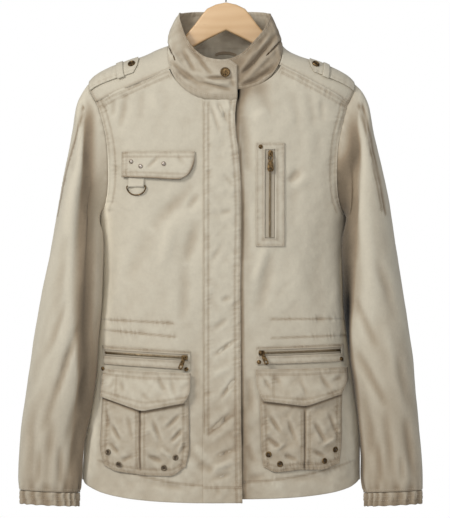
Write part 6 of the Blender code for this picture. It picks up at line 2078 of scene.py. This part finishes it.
for hand in HANDS:
    tag = TAG[hand]
    for seam in FRONT_SEAMS[hand]:
        sew_flat("front_stitches", f"front_{tag}", seam.points)
    for row in pocket_rows(hand):
        sew_flat("pocket_stitches", f"pocket_{tag}", row, 4)
    for row in flap_rows(hand):
        sew_flat("pocket_stitches", f"flap_{tag}", row, 8)
    for row in POCKET_WELT_ROWS[hand]:
        sew_flat("pocket_stitches", f"welt_{tag}", row, 2)
for seam in BACK_SEAMS:
    sew_flat("back_stitches", "back", seam.points, front=False)
for seam in PLACKET_SEAMS:
    sew_flat("placket_stitches", "placket", seam.points, 2)
for row in chest_flap_rows():
    sew_flat("chest_stitches", "chest_flap", row, 4)
for row in CHEST_WELT_ROWS:
    sew_flat("chest_stitches", "chest_welt", row, 2)
TAB_BOX = ((-148.5, 324.5), (-112, 324.5), (-112, 335), (-148.5, 335), (-148.5, 324.5))
sew_flat("chest_stitches", "chest_flap", TAB_BOX, 4)

# %% [markdown]
# Sleeves, cuffs, shoulders and collar are no flat drawings, so their rows are given in space.

# %% Rows on the sleeves, the shoulders and the collar
for hand in HANDS:
    tag = TAG[hand]
    grid = SLEEVE_GRID[hand]
    for seam in SLEEVE_SEAMS[hand]:
        line = np.array([(x, -60, -drop) for x, drop in seam.points], float)
        sew("sleeve_stitches", f"sleeve_{tag}", line)
    x, drop = SLEEVE_SEAMS[hand][0].points[-1]
    box = [(x + dx, -62, -(drop + dd)) for dx, dd in ((-5, -3), (5, -3), (5, 5), (-5, 5), (-5, -3))]
    sew("sleeve_stitches", f"sleeve_{tag}", box)
    sew("sleeve_stitches", f"sleeve_{tag}", grid[-3])
    ring, outer, inner = cuff_top(hand)
    turn = np.radians(np.arange(0, 361, 4.0))
    for share in ELASTIC_ROW_AT:
        fall = 0.8 + CUFF_HEIGHT * share
        middle_drop, half_drop = (ring.outer_drop + ring.inner_drop) / 2, (ring.outer_drop
                                                                           - ring.inner_drop) / 2
        drop = middle_drop + half_drop * np.cos(turn) + fall
        x = (outer + inner) / 2 + (outer - inner) / 2 * np.cos(turn)
        sew("sleeve_stitches", f"cuff_{tag}", np.stack((x, ring.mid - ring.half * np.sin(turn), -drop), -1))
    for s in ARMHOLE_ROW_AT:
        sew("shoulder_stitches", f"yoke_{tag}", on_yoke(hand, s, np.linspace(-0.95, 0.95, 40)))
    s = np.linspace(0.03, 0.98, 30)
    for w in (-STRAP_ROW_AT, STRAP_ROW_AT):
        sew("shoulder_stitches", f"epaulette_{tag}", strap_point(hand, s, w))
    w = np.linspace(-0.8, 0.8, 12)
    for at in (LOOP_AT - 0.07, LOOP_AT + 0.07):
        sew("shoulder_stitches", f"epaulette_{tag}", strap_point(hand, at, w))

stay = np.linspace(COLLAR[0].angle + 2, COLLAR[-1].angle - 2, 160)
for level in COLLAR_ROW_AT:
    sew("collar_stitches", "collar", collar_place(stay, level))
lap_row = collar_place(COLLAR[-1].angle - 2.5, np.linspace(0.05, COLLAR_ROW_AT[-1], 16))
sew("collar_stitches", "collar", lap_row)


def seen_row(piece, line):
    """A row on the cloth as it shows from the front, given as (x, drop)."""
    row = []
    for x, drop in line:
        spot, way, _, _ = tree_of(f"{piece}_cloth").ray_cast(Vector((x, -300, -drop)) * MM, Vector((0, 1, 0)))
        if spot:
            row.append((spot, way))
    return row


def line_between(start, end, count=10):
    """Evenly spaced places (x, drop) from a start to an end."""
    last = count - 1
    return [(start[0] + (end[0] - start[0]) * k / last, start[1] + (end[1] - start[1]) * k / last)
            for k in range(count)]

# %% [markdown]
# On each side the collar has a slanting slit, where a hood can be zipped away. The slit's opening is painted
# shadow: a close row of small dark beads, with a brass stop at its lower end.

# %% Slits of the hood's zip in the collar
SLIT = {"Pitch": 1.5, "Length": 2.6, "Width": 1.9, "Height": 0.9}
SLIT_STOP = {"Pitch": 1.2, "Length": 2.2, "Width": 2.6, "Height": 1.6}
SLITS = (((-89.5, 134), (-79.5, 151)), ((62.5, 148), (84, 124)))
STOPS = (((-80.5, 150), (-78.8, 155)), ((64, 146.5), (66, 144)))
slit_rows = [seen_row("collar", line_between(*ends)) for ends in SLITS]
lay_rows("hood_slits", slit_rows, STITCH_TREE, SLIT, HOLE_SHADOW)
stop_rows = [seen_row("collar", line_between(*ends, 3)) for ends in STOPS]
lay_rows("hood_zip_stops", stop_rows, STITCH_TREE, SLIT_STOP, BRASS)

for group, rows in ROWS.items():
    lay_rows(group, rows, STITCH_TREE, STITCH, THREAD)

# %% [markdown]
# The teeth are small brass blocks in two rows. One row is shifted along the zip, so that they mesh.

# %% Zip teeth
TOOTH = {"Pitch": 2.0, "Length": 1.25, "Width": 2.1, "Height": 1.1}
TOOTH_REACH = 0.75


def teeth_rows(window, upright, tape):
    """The two rows of a zip's teeth, half a pitch apart, over its tape."""
    rows = []
    for side in (-1, 1):
        along = np.linspace(0.015 + 0.004 * side, 0.985 + 0.004 * side, 60)
        (ax, ad), (bx, bd), (cx, cd), (dx, dd) = window
        width = abs(bx - ax) if upright else abs(dd - ad)
        x, drop = zip_place(window, upright, along, 0.5 + side * TOOTH_REACH / width)
        row = []
        for point in on_body(x, drop, LAID_ON + 1.2):
            spot, way, _, _ = tree_of(tape).find_nearest(Vector(point) * MM)
            row.append((spot + way * 0.3 * MM, way))
        rows.append(row)
    return rows


TOOTH_ROWS = []
for name, (window, upright) in ZIPS.items():
    TOOTH_ROWS += teeth_rows(window, upright, f"{name}_tape")
lay_rows("zip_teeth", TOOTH_ROWS, TOOTH_TREE, TOOTH, TEETH)

# %% [markdown]
# ## Light and camera
# A lamp is a place, a size, a power and a colour. The camera stands far away, as the photographer's
# long lens did, so that the jacket shows with next to no perspective.

# %% Light and camera sizes
WORLD_LIGHT = 0.30
LAMPS = {
    "key": ((-2.4, -2.45, 1.5), 1.0, 77, (1.0, 0.985, 0.96)),
    "front": ((-0.4, -3.4, 0.5), 1.6, 26, (1.0, 0.99, 0.97)),
    "top": ((0.2, -1.2, 2.6), 1.6, 8, (1.0, 0.99, 0.97)),
    "fill": ((2.4, -2.6, -0.2), 2.0, 14, (0.97, 0.98, 1.0)),
}
CAMERA_DISTANCE = 6.0
PICTURE_HEIGHT = 0.8029
PICTURE_X, PICTURE_Z = -0.00155, -0.4617

# %% [markdown]
# ## The room, the light and the camera
# The picture is a shop's: the jacket hangs in front of pure white, lit softly from the upper left and
# front, so that folds read without hard shadows. A pale floor lies well below the hem.

# %% Floor, world and lamps
STAGE_WHITE = (0.92, 0.92, 0.92, 1)
PIECE_CENTRE = Vector((-0.0016, 0.0, -0.46))

floor_mesh = bpy.data.meshes.new("floor")
floor_mesh.from_pydata([(-9, -9, -2.2), (9, -9, -2.2), (9, 9, -2.2), (-9, 9, -2.2)], [], [(0, 1, 2, 3)])
floor = bpy.data.objects.new("floor", floor_mesh)
bpy.context.scene.collection.objects.link(floor)
floor_mesh.materials.append(new_material("floor paint", {"Base Color": STAGE_WHITE, "Roughness": 0.9})[0])

world = bpy.data.worlds.new("studio")
world.use_nodes = True
bpy.context.scene.world = world
sky = world.node_tree
sky.nodes.clear()
lit = add_node(sky, "ShaderNodeBackground", {"Color": (0.93, 0.96, 1.0, 1), "Strength": WORLD_LIGHT})
seen = add_node(sky, "ShaderNodeBackground", {"Color": (1, 1, 1, 1), "Strength": 1.0})
ray = add_node(sky, "ShaderNodeLightPath")
which = add_node(sky, "ShaderNodeMixShader")
out = add_node(sky, "ShaderNodeOutputWorld")
sky.links.new(ray.outputs["Is Camera Ray"], which.inputs["Fac"])
sky.links.new(lit.outputs[0], which.inputs[1])
sky.links.new(seen.outputs[0], which.inputs[2])
sky.links.new(which.outputs[0], out.inputs["Surface"])


def soft_box(name, place, size, power, colour):
    """A square lamp that faces the jacket."""
    lamp = bpy.data.lights.new(name, "AREA")
    lamp.shape, lamp.size, lamp.energy, lamp.color = "SQUARE", size, power, colour
    item = bpy.data.objects.new(name, lamp)
    item.location = place
    item.rotation_euler = (PIECE_CENTRE - Vector(place)).to_track_quat("-Z", "Y").to_euler()
    bpy.context.scene.collection.objects.link(item)


for name, (place, size, power, colour) in LAMPS.items():
    soft_box(name, place, size, power, colour)

# %% [markdown]
# The camera looks level at the jacket's front. Its picture's height in metres sets the lens.

# %% Camera
camera_data = bpy.data.cameras.new("camera")
camera_data.sensor_width = 36
camera_data.lens = 36 * CAMERA_DISTANCE / PICTURE_HEIGHT
camera = bpy.data.objects.new("camera", camera_data)
camera.location = (PICTURE_X, -CAMERA_DISTANCE, PICTURE_Z)
camera.rotation_euler = (math.radians(90), 0, 0)
bpy.context.scene.collection.objects.link(camera)
bpy.context.scene.camera = camera
bpy.context.scene.view_settings.view_transform = "Standard"
